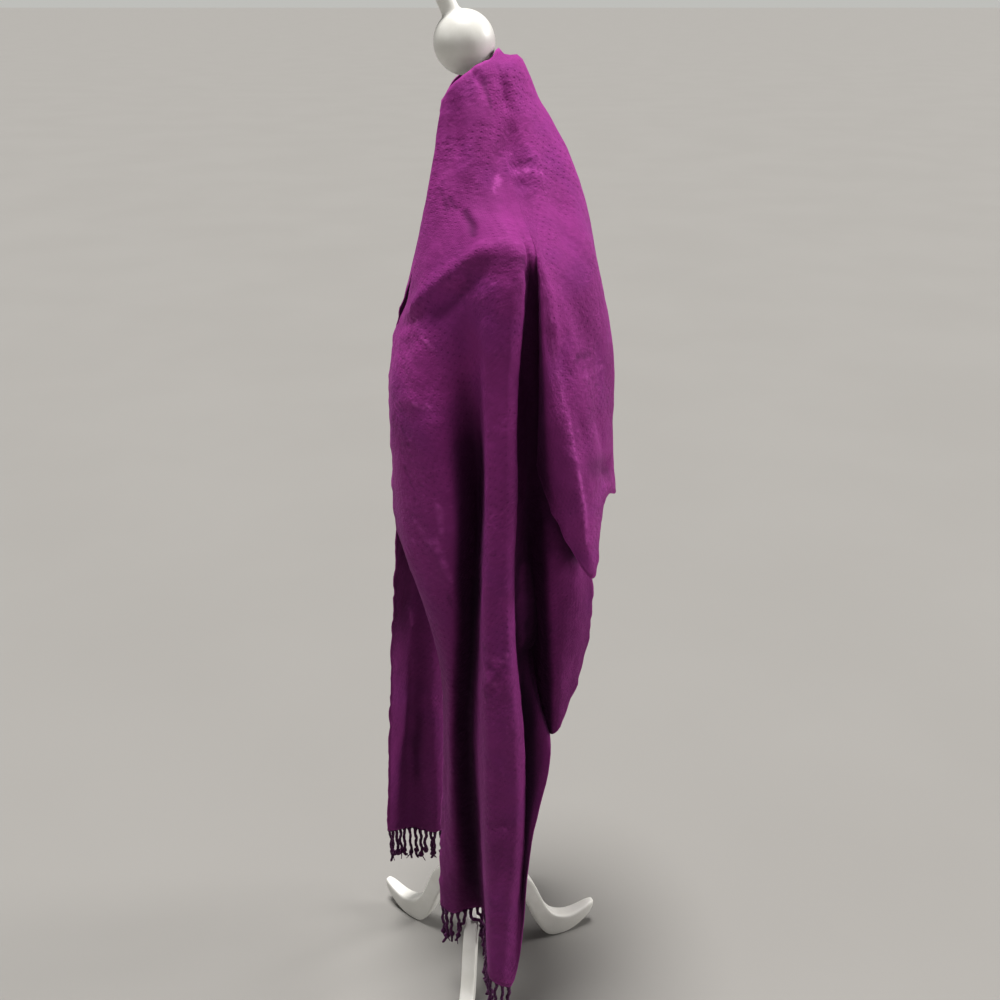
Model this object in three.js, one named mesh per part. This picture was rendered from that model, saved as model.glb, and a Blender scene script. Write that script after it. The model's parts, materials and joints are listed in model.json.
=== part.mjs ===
// A pashmina scarf draped over a limbless dress form on a three-legged stand.
// Millimetres, +Z up. The form faces -X; the pole stands on the Z axis while it is built.

import * as THREE from "three";

// Cloth
const WALL = 2;
const SEAM_GAP = 0.3;
const FORM_CLEARANCE = 3.6;
const FRINGE_LENGTH = 60;
const FRINGE_WALL = 3;
const FRINGE_STEPS = 28;
const FRINGE_LIFT = 2.5;
const HEM_GAP = 1.2;
const LEG_SPACE = 7;

// Form and stand
const POLE_RADIUS = 11;
const HUB_RADIUS = 19;
const HUB_LOW = 92;
const HUB_HIGH = 150;
const PLATE_THICKNESS = 10;
const PLATE_TOP = 558.7;
const PLATE_RADIUS = 38;
const CAP_RADIUS = 30;
const CAP_THICKNESS = 5;
const CAP_CENTRE = [9.5, 1154];
const NECK_TILT = 25;
const BALL_RADIUS = 29.5;
const BALL_CENTRE = [-5, 1187];
const STEM_RADIUS = 9;
const STEM_LENGTH = 46;
const BALL_SEAT = 3.7;
const BALL_RINGS = 10;
const TURNED_SIDES = 24;
const LEG_ANGLES = [22, 142, 262];

// Level sections of the form: front and back reach, half width, forward tilt in degrees.
const FORM_SECTIONS = [
  { z: 559, front: -38, back: 92, half: 88, tilt: 0 },
  { z: 563, front: -46, back: 100, half: 98, tilt: 0 },
  { z: 590, front: -52, back: 108, half: 106, tilt: 0 },
  { z: 640, front: -50, back: 110, half: 107, tilt: 0 },
  { z: 700, front: -42, back: 96, half: 97, tilt: 0 },
  { z: 760, front: -36, back: 84, half: 88, tilt: 0 },
  { z: 820, front: -44, back: 90, half: 93, tilt: 0 },
  { z: 875, front: -58, back: 100, half: 106, tilt: 0 },
  { z: 920, front: -66, back: 108, half: 122, tilt: 0 },
  { z: 955, front: -55, back: 112, half: 131, tilt: 0 },
  { z: 990, front: -36, back: 110, half: 135, tilt: 0 },
  { z: 1015, front: -30, back: 105, half: 129, tilt: 0 },
  { z: 1034, front: -22, back: 98, half: 114, tilt: 0 },
  { z: 1050, front: -17, back: 90, half: 90, tilt: 2 },
  { z: 1066, front: -15, back: 80, half: 62, tilt: 5 },
  { z: 1088, front: -16, back: 66, half: 46, tilt: 10 },
  { z: 1115, front: -17, back: 51, half: 36, tilt: 17 },
  { z: 1138, front: -21, back: 41, half: 32, tilt: 23 },
  { z: 1150.2, front: -21, back: 37, half: 30, tilt: 25 },
];
const FORM_POWER = 2.25;
const FORM_SIDES = 40;

// Sections of one leg, by distance from the pole: underside, top and half width.
const LEG_SECTIONS = [
  { r: 19.4, low: 108, high: 134, half: 8 },
  { r: 40, low: 110, high: 137, half: 8 },
  { r: 58, low: 100, high: 135, half: 8.5 },
  { r: 70, low: 74, high: 127, half: 9 },
  { r: 80, low: 44, high: 110, half: 9 },
  { r: 90, low: 22, high: 82, half: 9 },
  { r: 100, low: 6, high: 56, half: 9 },
  { r: 110, low: 0, high: 42, half: 9.5 },
  { r: 120, low: 0, high: 35, half: 10 },
  { r: 136, low: 0, high: 29, half: 10 },
  { r: 152, low: 7, high: 32, half: 9 },
  { r: 166, low: 17, high: 38, half: 7.5 },
  { r: 176, low: 28, high: 40, half: 4.5 },
];

// Folds of the near front, from its inner edge out to the layer tucked under the flap.
const NEAR_FOLDS = [
  { fold: "inner_edge",
    top: [-25, -40, 1139], yoke: [-33, -38, 1072], chest: [-52, -42, 984], high: [-80, -46, 905],
    waist: [-86, -46, 780], hip: [-86, -50, 680], knee: [-46, -52, 555], end: [-49, -57, 152] },
  { fold: "front_turn",
    top: [-24, -43, 1141], yoke: [-37, -60, 1068], chest: [-60, -80, 955], high: [-74, -96, 880],
    waist: [-68, -110, 770], hip: [-64, -110, 668], knee: [-38, -80, 500], end: [-41, -66, 152] },
  { fold: "ridge_b",
    top: [-20, -44, 1148], yoke: [-31, -80, 1052], chest: [-44, -116, 968], high: [-40, -134, 868],
    waist: [-22, -137, 765], hip: [-22, -130, 650], knee: [-28, -98, 450], end: [-27, -71, 152] },
  { fold: "valley_2",
    top: [-13, -43, 1155], yoke: [-16, -90, 1052], chest: [-6, -137, 1000], high: [4, -132, 875],
    waist: [8, -116, 765], hip: [4, -116, 640], knee: [-4, -76, 440], end: [6, -52, 152] },
  { fold: "ridge_a_front",
    top: [-7, -42, 1160], yoke: [2, -96, 1056], chest: [18, -148, 1018], high: [18, -156, 880],
    waist: [20, -157, 768], hip: [16, -159, 645], knee: [18, -161, 430], end: [13, -168, 149] },
  { fold: "ridge_a",
    top: [-2, -39, 1163], yoke: [14, -98, 1058], chest: [36, -151, 1024], high: [34, -160, 880],
    waist: [37, -160, 768], hip: [37, -159, 645], knee: [46, -162, 425], end: [32, -173, 142] },
  { fold: "hem_corner",
    top: [2, -37, 1166], yoke: [22, -97, 1060], chest: [46, -148, 1023], high: [47, -148, 880],
    waist: [50, -144, 768], hip: [50, -142, 645], knee: [63, -150, 420], end: [47, -168, 135] },
  { fold: "selvage_low",
    top: [5, -35, 1168], yoke: [28, -95, 1060], chest: [52, -142, 1021], high: [54, -132, 880],
    waist: [55, -126, 768], hip: [56, -122, 650], knee: [61, -130, 500], end: [66, -152, 345] },
  { fold: "selvage_corner",
    top: [8, -33, 1169], yoke: [32, -93, 1060], chest: [56, -137, 1019], high: [58, -119, 880],
    waist: [59, -109, 770], hip: [61, -108, 655], knee: [68, -114, 560], end: [87, -138, 470] },
  { fold: "valley_1",
    top: [11, -31, 1170], yoke: [35, -91, 1060], chest: [57, -133, 1017], high: [62, -106, 885],
    waist: [65, -97, 775], hip: [68, -98, 660], knee: [71, -101, 575], end: [74, -111, 487] },
  { fold: "layer_front",
    top: [13, -29, 1171], yoke: [37, -90, 1060], chest: [59, -130, 1016], high: [66, -104, 890],
    waist: [72, -99, 780], hip: [84, -108, 670], knee: [89, -116, 575], end: [88, -119, 480] },
  { fold: "layer_mid",
    top: [14.5, -28, 1171.5], yoke: [39, -89, 1060], chest: [61, -127, 1014], high: [70, -103, 890],
    waist: [82, -98, 790], hip: [104, -110, 690], knee: [111, -112, 600], end: [110, -109, 525] },
  { fold: "layer_edge",
    top: [16.9, -26.5, 1172.3], yoke: [42.2, -87.5, 1060], chest: [65, -126, 1011], high: [75, -101, 895],
    waist: [92, -94, 800], hip: [116, -93, 715], knee: [128, -94, 650], end: [125, -98, 578] },
];

// Folds across the back, from the near flap's free edge to the far flap's free edge.
const BACK_FOLDS = [
  { fold: "near_flap_edge",
    top: [17.5, -26, 1172.5], crown: [22, -36, 1163], nape: [28, -50, 1128], yoke: [43, -87, 1060],
    blade: [69, -129, 1010], mid: [71.5, -122, 935], low: [69, -113, 862], end: [66, -111, 800] },
  { fold: "near_flap_mid",
    top: [19, -24, 1173.5], crown: [26, -35, 1164], nape: [33, -48, 1128], yoke: [46, -85, 1060],
    blade: [71, -134, 1008], mid: [74, -138, 912], low: [75, -137, 832], end: [80, -132, 764] },
  { fold: "near_crest_front",
    top: [20, -21, 1174.5], crown: [30, -33, 1167], nape: [38, -46, 1128], yoke: [50, -82, 1061],
    blade: [76, -136, 1004], mid: [84, -145, 908], low: [92, -147, 812], end: [102, -140, 720] },
  { fold: "near_crest",
    top: [22, -17, 1175.5], crown: [35, -29, 1169], nape: [44, -42, 1130], yoke: [58, -78, 1062],
    blade: [82, -132, 1000], mid: [97, -140, 905], low: [111, -142, 800], end: [125, -132, 684] },
  { fold: "near_flap_rear",
    top: [24, -12, 1177], crown: [40, -23, 1171], nape: [52, -34, 1133], yoke: [70, -66, 1066],
    blade: [97, -112, 1002], mid: [114, -122, 910], low: [121, -118, 810], end: [130, -108, 712] },
  { fold: "near_blade",
    top: [26, -6, 1178], crown: [45, -14, 1173], nape: [60, -22, 1135], yoke: [86, -44, 1074],
    blade: [115, -74, 1010], mid: [133, -78, 905], low: [138, -74, 820], end: [140, -68, 744] },
  { fold: "back_near_ridge",
    top: [26.5, -1, 1179], crown: [47, -4, 1174], nape: [64, -8, 1137], yoke: [97, -22, 1082],
    blade: [124, -34, 990], mid: [145, -34, 890], low: [149, -30, 808], end: [155, -26, 730] },
  { fold: "back_centre",
    top: [26, 5, 1178], crown: [46, 6, 1173], nape: [64, 6, 1137], yoke: [98, 4, 1084],
    blade: [125, 4, 990], mid: [144, 4, 888], low: [149, 6, 804], end: [158, 8, 724] },
  { fold: "back_far_ridge",
    top: [24.5, 11, 1177], crown: [43, 17, 1171], nape: [60, 22, 1135], yoke: [94, 36, 1077],
    blade: [120, 46, 990], mid: [140, 50, 888], low: [147, 52, 804], end: [155, 52, 722] },
  { fold: "far_blade",
    top: [22.5, 16, 1176], crown: [39, 26, 1168], nape: [52, 34, 1132], yoke: [80, 60, 1068],
    blade: [110, 92, 1000], mid: [124, 98, 900], low: [128, 98, 800], end: [131, 96, 716] },
  { fold: "far_flap_rear",
    top: [21, 20, 1175], crown: [34, 31, 1166], nape: [44, 42, 1130], yoke: [64, 76, 1063],
    blade: [92, 124, 1002], mid: [110, 134, 900], low: [118, 132, 795], end: [124, 126, 690] },
  { fold: "far_crest",
    top: [19.5, 23, 1174], crown: [29, 35, 1164], nape: [38, 47, 1128], yoke: [54, 81, 1061],
    blade: [78, 137, 1004], mid: [90, 147, 900], low: [102, 147, 790], end: [112, 138, 672] },
  { fold: "far_flap_mid",
    top: [18, 25.5, 1173], crown: [26, 36, 1163], nape: [33, 49, 1128], yoke: [47, 86, 1060],
    blade: [71, 136, 1008], mid: [77, 139, 915], low: [84, 138, 828], end: [90, 131, 730] },
  { fold: "far_flap_edge",
    top: [16.5, 28, 1172], crown: [22, 37, 1162], nape: [28, 51, 1127], yoke: [44, 88, 1060],
    blade: [69, 131, 1010], mid: [72, 123, 935], low: [71, 115, 857], end: [69, 112, 782] },
];

// Folds of the far front, from its inner edge out to the layer tucked under the far flap.
const FAR_FOLDS = [
  { fold: "inner_edge",
    top: [-24, 41, 1140], yoke: [-35, 38, 1074], chest: [-57, 36, 980], high: [-84, 38, 900],
    waist: [-91, 40, 775], hip: [-96, 46, 640], knee: [-109, 50, 470], end: [-128, 58, 173] },
  { fold: "valley_3",
    top: [-23, 43, 1142], yoke: [-39, 60, 1067], chest: [-68, 78, 950], high: [-80, 90, 872],
    waist: [-84, 96, 765], hip: [-84, 94, 640], knee: [-90, 90, 460], end: [-98, 92, 168] },
  { fold: "ridge_c",
    top: [-20, 44, 1147], yoke: [-32, 78, 1053], chest: [-50, 112, 968], high: [-58, 128, 870],
    waist: [-58, 124, 765], hip: [-56, 114, 640], knee: [-58, 92, 450], end: [-60, 74, 158] },
  { fold: "valley_4",
    top: [-14, 43, 1154], yoke: [-18, 90, 1053], chest: [-12, 136, 1000], high: [-14, 142, 875],
    waist: [-20, 132, 765], hip: [-24, 126, 640], knee: [-30, 118, 440], end: [-36, 112, 156] },
  { fold: "ridge_d",
    top: [-8, 42, 1160], yoke: [0, 96, 1056], chest: [16, 148, 1018], high: [18, 156, 880],
    waist: [16, 158, 768], hip: [12, 160, 645], knee: [4, 164, 430], end: [-8, 164, 155] },
  { fold: "valley_5",
    top: [-3, 40, 1163], yoke: [13, 98, 1058], chest: [34, 151, 1024], high: [36, 152, 880],
    waist: [36, 142, 768], hip: [34, 136, 645], knee: [30, 130, 430], end: [20, 132, 151] },
  { fold: "hem_corner",
    top: [1, 38, 1166], yoke: [22, 97, 1060], chest: [46, 149, 1023], high: [51, 152, 880],
    waist: [56, 152, 768], hip: [60, 150, 645], knee: [62, 154, 420], end: [50, 152, 146] },
  { fold: "selvage_low",
    top: [5, 36, 1168], yoke: [28, 95, 1060], chest: [52, 143, 1021], high: [58, 136, 880],
    waist: [62, 130, 768], hip: [66, 130, 655], knee: [70, 136, 520], end: [72, 146, 350] },
  { fold: "valley_6",
    top: [8, 34, 1169], yoke: [32, 93, 1060], chest: [56, 137, 1018], high: [62, 112, 885],
    waist: [65, 102, 775], hip: [68, 104, 680], knee: [70, 108, 610], end: [74, 116, 520] },
  { fold: "layer_mid",
    top: [11, 32, 1170], yoke: [36, 91, 1060], chest: [59, 132, 1016], high: [67, 103, 890],
    waist: [76, 100, 790], hip: [88, 108, 690], knee: [94, 114, 620], end: [97, 114, 540] },
  { fold: "layer_edge",
    top: [15.8, 28.6, 1171.8], yoke: [43, 88.6, 1060], chest: [64.5, 128.5, 1011], high: [73, 101, 895],
    waist: [88, 96, 800], hip: [106, 98, 715], knee: [114, 100, 650], end: [114, 102, 590] },
];

const RIB_COLUMNS_FRONT = ["top", "yoke", "chest", "high", "waist", "hip", "knee", "end"];
const RIB_COLUMNS_BACK = ["top", "crown", "nape", "yoke", "blade", "mid", "low", "end"];
const FRONT_ROWS = 21;
const BACK_ROWS = 18;
const COLUMNS_PER_FOLD = 2;

const CLOTH = new THREE.MeshStandardMaterial({
  color: 0x6e1f68,
  roughness: 0.85,
  side: THREE.DoubleSide,
});
const FRINGE = new THREE.MeshStandardMaterial({ color: 0x3c1038, roughness: 0.9 });
const JERSEY = new THREE.MeshStandardMaterial({ color: 0xe9e5dc, roughness: 0.9 });
const PAINT = new THREE.MeshStandardMaterial({ color: 0xefece2, roughness: 0.4 });
const STEEL = new THREE.MeshStandardMaterial({ color: 0xe6e4df, roughness: 0.35 });

function radians(degrees) {
  return degrees * Math.PI / 180;
}

// Form section at a height: centre, half depth and half width, or null outside the torso.
function formSection(z) {
  const rows = FORM_SECTIONS;
  if (z < rows[0].z || z > rows[rows.length - 1].z) {
    return null;
  }
  let i = 0;
  while (z > rows[i + 1].z) {
    i += 1;
  }
  const low = rows[i];
  const high = rows[i + 1];
  const rise = high.z - low.z;
  const t = (z - low.z) / rise;
  const front = THREE.MathUtils.lerp(low.front, high.front, t);
  const back = THREE.MathUtils.lerp(low.back, high.back, t);
  const half = THREE.MathUtils.lerp(low.half, high.half, t);
  const frontSlope = Math.abs(high.front - low.front) / rise;
  const backSlope = Math.abs(high.back - low.back) / rise;
  const depthSlope = Math.max(frontSlope, backSlope);
  const halfSlope = Math.abs(high.half - low.half) / rise;
  return { centre: (front + back) / 2, depth: (back - front) / 2, half, depthSlope, halfSlope };
}

// Moves a point out of the form, to the cloth's clearance from its surface.
function clearOfForm(p) {
  const s = formSection(p.z);
  if (!s) {
    return p;
  }
  const margin = WALL / 2 + FORM_CLEARANCE;
  const depth = s.depth + margin * Math.hypot(1, s.depthSlope);
  const half = s.half + margin * Math.hypot(1, s.halfSlope);
  const dx = Math.abs(p.x - s.centre) / depth;
  const dy = Math.abs(p.y) / half;
  const reach = Math.pow(Math.pow(dx, FORM_POWER) + Math.pow(dy, FORM_POWER), 1 / FORM_POWER);
  if (reach >= 1 || reach < 1e-6) {
    return p;
  }
  return new THREE.Vector3(s.centre + (p.x - s.centre) / reach, p.y / reach, p.z);
}

// A closed mesh from rings of equal length, with flat fans at both ends.
function ringSolid(rings) {
  const count = rings[0].length;
  const positions = [];
  const indices = [];
  for (const ring of rings) {
    for (const p of ring) {
      positions.push(p.x, p.y, p.z);
    }
  }
  for (let r = 0; r + 1 < rings.length; r += 1) {
    for (let i = 0; i < count; i += 1) {
      const a = r * count + i;
      const b = r * count + (i + 1) % count;
      indices.push(a, b, b + count, a, b + count, a + count);
    }
  }
  for (const end of [0, rings.length - 1]) {
    const centre = new THREE.Vector3();
    for (const p of rings[end]) {
      centre.add(p);
    }
    centre.divideScalar(count);
    const hub = positions.length / 3;
    positions.push(centre.x, centre.y, centre.z);
    for (let i = 0; i < count; i += 1) {
      const a = end * count + i;
      const b = end * count + (i + 1) % count;
      if (end === 0) {
        indices.push(hub, b, a);
      } else {
        indices.push(hub, a, b);
      }
    }
  }
  return makeGeometry(positions, indices);
}

function makeGeometry(positions, indices) {
  const geometry = new THREE.BufferGeometry();
  geometry.setAttribute("position", new THREE.Float32BufferAttribute(positions, 3));
  geometry.setIndex(indices);
  geometry.computeVertexNormals();
  return geometry;
}

// The middle surface of a stretch of cloth: a grid[column][row] through its folds.
function clothGrid(folds, columns, rows) {
  const ribs = folds.map((fold) => {
    const points = columns.map((name) => new THREE.Vector3(...fold[name]));
    const curve = new THREE.CatmullRomCurve3(points, false, "centripetal");
    return curve.getSpacedPoints(rows - 1);
  });
  const total = (folds.length - 1) * COLUMNS_PER_FOLD;
  const grid = Array.from({ length: total + 1 }, () => []);
  for (let row = 0; row < rows; row += 1) {
    const across = new THREE.CatmullRomCurve3(
      ribs.map((rib) => rib[row]), false, "centripetal",
    );
    for (let c = 0; c <= total; c += 1) {
      grid[c].push(clearOfForm(across.getPoint(c / total)));
    }
  }
  return grid;
}

function gridNormal(grid, c, r) {
  const last = grid.length - 1;
  const deep = grid[0].length - 1;
  const across = new THREE.Vector3().subVectors(
    grid[Math.min(c + 1, last)][r], grid[Math.max(c - 1, 0)][r],
  );
  const down = new THREE.Vector3().subVectors(
    grid[c][Math.min(r + 1, deep)], grid[c][Math.max(r - 1, 0)],
  );
  return across.cross(down).normalize();
}

// A wall of the given thickness on a grid, closed round its rim.
function wallSolid(grid, thickness) {
  const columns = grid.length;
  const rows = grid[0].length;
  const positions = [];
  const indices = [];
  for (const side of [0.5, -0.5]) {
    for (let c = 0; c < columns; c += 1) {
      for (let r = 0; r < rows; r += 1) {
        const n = gridNormal(grid, c, r).multiplyScalar(side * thickness);
        const p = grid[c][r].clone().add(n);
        positions.push(p.x, p.y, p.z);
      }
    }
  }
  const under = columns * rows;
  const at = (c, r) => c * rows + r;
  const quad = (a, b, d, e) => indices.push(a, b, d, a, d, e);
  for (let c = 0; c + 1 < columns; c += 1) {
    for (let r = 0; r + 1 < rows; r += 1) {
      quad(at(c, r), at(c + 1, r), at(c + 1, r + 1), at(c, r + 1));
      quad(under + at(c, r), under + at(c, r + 1), under + at(c + 1, r + 1), under + at(c + 1, r));
    }
  }
  for (let c = 0; c + 1 < columns; c += 1) {
    const low = rows - 1;
    quad(at(c, 0), under + at(c, 0), under + at(c + 1, 0), at(c + 1, 0));
    quad(at(c, low), at(c + 1, low), under + at(c + 1, low), under + at(c, low));
  }
  for (let r = 0; r + 1 < rows; r += 1) {
    const end = columns - 1;
    quad(at(0, r), at(0, r + 1), under + at(0, r + 1), under + at(0, r));
    quad(at(end, r), under + at(end, r), under + at(end, r + 1), at(end, r + 1));
  }
  return makeGeometry(positions, indices);
}

// Top of the nearest leg under a point, or 0 where no leg passes below it.
function legTopUnder(p) {
  let top = 0;
  for (const angle of LEG_ANGLES) {
    const a = radians(angle);
    const along = p.x * Math.cos(a) + p.y * Math.sin(a);
    const aside = Math.abs(p.y * Math.cos(a) - p.x * Math.sin(a));
    for (let i = 0; i + 1 < LEG_SECTIONS.length; i += 1) {
      const inner = LEG_SECTIONS[i];
      const outer = LEG_SECTIONS[i + 1];
      const near = along > inner.r - LEG_SPACE && along < outer.r + LEG_SPACE;
      if (near && aside < inner.half + LEG_SPACE) {
        top = Math.max(top, inner.high);
      }
    }
  }
  return top;
}

// The fringe's reach below a hem, between two columns of the cloth. It parts over a leg.
function fringeGrid(grid, firstColumn, lastColumn) {
  const hem = grid.slice(firstColumn, lastColumn + 1).map((column) => column[column.length - 1]);
  const line = new THREE.CatmullRomCurve3(hem, false, "centripetal");
  return line.getSpacedPoints(FRINGE_STEPS).map((p) => {
    const low = Math.max(p.z - FRINGE_LENGTH, legTopUnder(p) + FRINGE_LIFT);
    return [p.z - HEM_GAP, low].map((z) => new THREE.Vector3(p.x, p.y, z));
  });
}

function formRing(row, count) {
  const centre = (row.front + row.back) / 2;
  const depth = (row.back - row.front) / 2;
  const ring = [];
  for (let i = 0; i < count; i += 1) {
    const a = i / count * 2 * Math.PI;
    const c = Math.cos(a);
    const s = Math.sin(a);
    const x = Math.sign(c) * Math.pow(Math.abs(c), 2 / FORM_POWER) * depth;
    const y = Math.sign(s) * Math.pow(Math.abs(s), 2 / FORM_POWER) * row.half;
    const lift = x * Math.tan(radians(row.tilt));
    ring.push(new THREE.Vector3(centre + x, y, row.z + lift));
  }
  return ring;
}

function legSolid(angle) {
  const rings = LEG_SECTIONS.map((row) => {
    const bevel = Math.min(row.half * 0.45, 3);
    const corners = [
      [row.half - bevel, row.low], [row.half, row.low + bevel],
      [row.half, row.high - bevel], [row.half - bevel, row.high],
      [bevel - row.half, row.high], [-row.half, row.high - bevel],
      [-row.half, row.low + bevel], [bevel - row.half, row.low],
    ];
    const a = radians(angle);
    return corners.map(([w, z]) => new THREE.Vector3(
      row.r * Math.cos(a) - w * Math.sin(a),
      row.r * Math.sin(a) + w * Math.cos(a),
      z,
    ));
  });
  return ringSolid(rings);
}

// A turned solid: rings of the profile's radii along an axis that leans forward.
function turnedSolid(profile, centre, lean) {
  const axis = new THREE.Vector3(-Math.sin(radians(lean)), 0, Math.cos(radians(lean)));
  const side = new THREE.Vector3(axis.z, 0, -axis.x);
  const rings = profile.map(({ radius, along }) => {
    const ring = [];
    for (let i = 0; i < TURNED_SIDES; i += 1) {
      const a = i / TURNED_SIDES * 2 * Math.PI;
      const p = new THREE.Vector3(centre[0], 0, centre[1]);
      p.addScaledVector(axis, along);
      p.addScaledVector(side, radius * Math.cos(a));
      p.y += radius * Math.sin(a);
      ring.push(p);
    }
    return ring;
  });
  return ringSolid(rings);
}

function finialSolid() {
  const profile = [{ radius: 8, along: -BALL_RADIUS - BALL_SEAT }];
  const foot = Math.asin(8.5 / BALL_RADIUS);
  const waist = Math.PI - Math.asin(STEM_RADIUS / BALL_RADIUS);
  for (let i = 0; i <= BALL_RINGS; i += 1) {
    const a = foot + (waist - foot) * i / BALL_RINGS;
    profile.push({ radius: Math.sin(a) * BALL_RADIUS, along: -Math.cos(a) * BALL_RADIUS });
  }
  const top = BALL_RADIUS + STEM_LENGTH;
  profile.push({ radius: STEM_RADIUS, along: top - 2 });
  profile.push({ radius: STEM_RADIUS - 2, along: top });
  return turnedSolid(profile, BALL_CENTRE, NECK_TILT);
}

function roundBar(radius, low, high) {
  const profile = [{ radius, along: low }, { radius, along: high }];
  return turnedSolid(profile, [0, 0], 0);
}

const group = new THREE.Group();
group.name = "pashmina_scarf_on_form";

function add(name, geometry, material) {
  const mesh = new THREE.Mesh(geometry, material);
  mesh.name = name;
  group.add(mesh);
  return mesh;
}

const capProfile = [
  { radius: CAP_RADIUS - 1.5, along: -CAP_THICKNESS / 2 },
  { radius: CAP_RADIUS, along: 1.5 - CAP_THICKNESS / 2 },
  { radius: CAP_RADIUS, along: CAP_THICKNESS / 2 - 1.5 },
  { radius: CAP_RADIUS - 1.5, along: CAP_THICKNESS / 2 },
];
add("torso", ringSolid(FORM_SECTIONS.map((row) => formRing(row, FORM_SIDES))), JERSEY);
add("neck_cap", turnedSolid(capProfile, CAP_CENTRE, NECK_TILT), PAINT);
add("finial", finialSolid(), PAINT);
add("base_plate", roundBar(PLATE_RADIUS, PLATE_TOP - PLATE_THICKNESS, PLATE_TOP), PAINT);
const poleTop = PLATE_TOP - PLATE_THICKNESS - SEAM_GAP;
add("pole", roundBar(POLE_RADIUS, HUB_HIGH + SEAM_GAP, poleTop), STEEL);
add("hub", roundBar(HUB_RADIUS, HUB_LOW, HUB_HIGH), PAINT);
LEG_ANGLES.forEach((angle, i) => {
  add(`leg_${i + 1}`, legSolid(angle), PAINT);
});

const near = clothGrid(NEAR_FOLDS, RIB_COLUMNS_FRONT, FRONT_ROWS);
const back = clothGrid(BACK_FOLDS, RIB_COLUMNS_BACK, BACK_ROWS);
const far = clothGrid(FAR_FOLDS, RIB_COLUMNS_FRONT, FRONT_ROWS).reverse();
add("scarf_front_near", wallSolid(near, WALL), CLOTH);
add("scarf_back", wallSolid(back, WALL), CLOTH);
add("scarf_front_far", wallSolid(far, WALL), CLOTH);

const nearHem = NEAR_FOLDS.findIndex((row) => row.fold === "hem_corner") * COLUMNS_PER_FOLD;
const farHem = FAR_FOLDS.findIndex((row) => row.fold === "hem_corner") * COLUMNS_PER_FOLD;
const nearFringe = fringeGrid(near, 0, nearHem);
const farFringe = fringeGrid(far, far.length - 1 - farHem, far.length - 1);
add("fringe_near", wallSolid(nearFringe, FRINGE_WALL), FRINGE);
add("fringe_far", wallSolid(farFringe, FRINGE_WALL), FRINGE);

const box = new THREE.Box3().setFromObject(group);
const middle = box.getCenter(new THREE.Vector3());
for (const mesh of group.children) {
  mesh.geometry.translate(-middle.x, -middle.y, 0);
}

export default group;
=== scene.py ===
"""A pashmina scarf draped over a limbless dress form that stands on three legs."""
import json
import math
import random

import bpy
import numpy as np
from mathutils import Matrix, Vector, noise
from mathutils.bvhtree import BVHTree

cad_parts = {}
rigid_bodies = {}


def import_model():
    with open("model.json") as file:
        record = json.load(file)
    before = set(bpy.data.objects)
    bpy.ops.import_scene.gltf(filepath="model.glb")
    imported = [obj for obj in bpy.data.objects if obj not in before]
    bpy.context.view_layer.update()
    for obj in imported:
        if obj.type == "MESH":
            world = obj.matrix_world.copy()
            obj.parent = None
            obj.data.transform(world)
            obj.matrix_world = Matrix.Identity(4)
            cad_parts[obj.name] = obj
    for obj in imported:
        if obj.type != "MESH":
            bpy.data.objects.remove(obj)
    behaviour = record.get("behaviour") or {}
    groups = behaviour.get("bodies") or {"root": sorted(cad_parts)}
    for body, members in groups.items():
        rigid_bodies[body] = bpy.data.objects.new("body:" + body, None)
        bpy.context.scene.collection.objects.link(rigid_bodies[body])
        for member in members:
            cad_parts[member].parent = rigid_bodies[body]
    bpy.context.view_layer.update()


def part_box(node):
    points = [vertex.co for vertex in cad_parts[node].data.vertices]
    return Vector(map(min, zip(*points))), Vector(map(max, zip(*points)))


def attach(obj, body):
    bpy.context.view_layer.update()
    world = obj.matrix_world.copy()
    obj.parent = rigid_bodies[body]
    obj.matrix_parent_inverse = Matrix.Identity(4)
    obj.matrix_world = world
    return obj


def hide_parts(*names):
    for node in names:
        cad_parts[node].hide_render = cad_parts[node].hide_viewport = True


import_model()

# The pole's axis is the origin of every table below. Tables are in millimetres.
MM = 0.001
TURN = 2 * math.pi
pole_low, pole_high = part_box("pole")
POLE = Vector(((pole_low[0] + pole_high[0]) / 2, (pole_low[1] + pole_high[1]) / 2, 0))

# Cloth: the sheet's thickness and the fineness of its mesh
CLOTH_THICKNESS = 1.5
SHOULDER_ROWS = 80
HANGING_ROWS = 100
STEPS_PER_FOLD = 9
STEPS_UNDER_FLAP = 4
HEM_FOLDS = 6
CURVE_PARTS = 40
SHOULDER_POINTS = 4

# Cloth: over how many rows its stretches join, and how its weave is evened there
COLLAR_ROWS = 34
COLLAR_FADE = 12
COLLAR_SHARE = 1.6
FLAP_FADE = 14
CREST_FOLD = 5
CHEST_ROW = int(SHOULDER_ROWS * 0.46)
WEAVE_EVENED = 15

# Cloth: room between it and the form
ROOM_OVER_FORM = 2.2
LEAST_ROOM = 1.6

# Cloth: the fan of rays that finds how closed in its folds each point is, which sets the painted
# shade in the folds
FOLD_RAYS = 14
FOLD_REACH = 90
INSIDE_REACH = 300
GOLDEN_ANGLE = 2.39996
FAN_OPENING = 0.86
FAR_HIT_SHARE = 0.5
EVENING_ROUNDS = 3

# Cloth: height and length of its unevenness, in width, depth and height
SLACK = 1.7, (46, 46, 130)
RUMPLE = 0.9, (21, 21, 60)
PUCKER = 0.75, (10, 10, 15)
EDGE_RIPPLE = 2.1, (26, 26, 22)
EDGE_RUFFLE = 0.7, (11, 11, 10)
NOISE_STEPS = 7.3, 3.1, 5.7
SLACK_EDGE = 30
SLACK_LEAST = 0.35
RIPPLE_REACH = 8
CREASE_STRENGTH = 1.5
CREASE_FADE = 4
CREASE_END = 0.15
WIDEST_BORDER = 60

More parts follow.
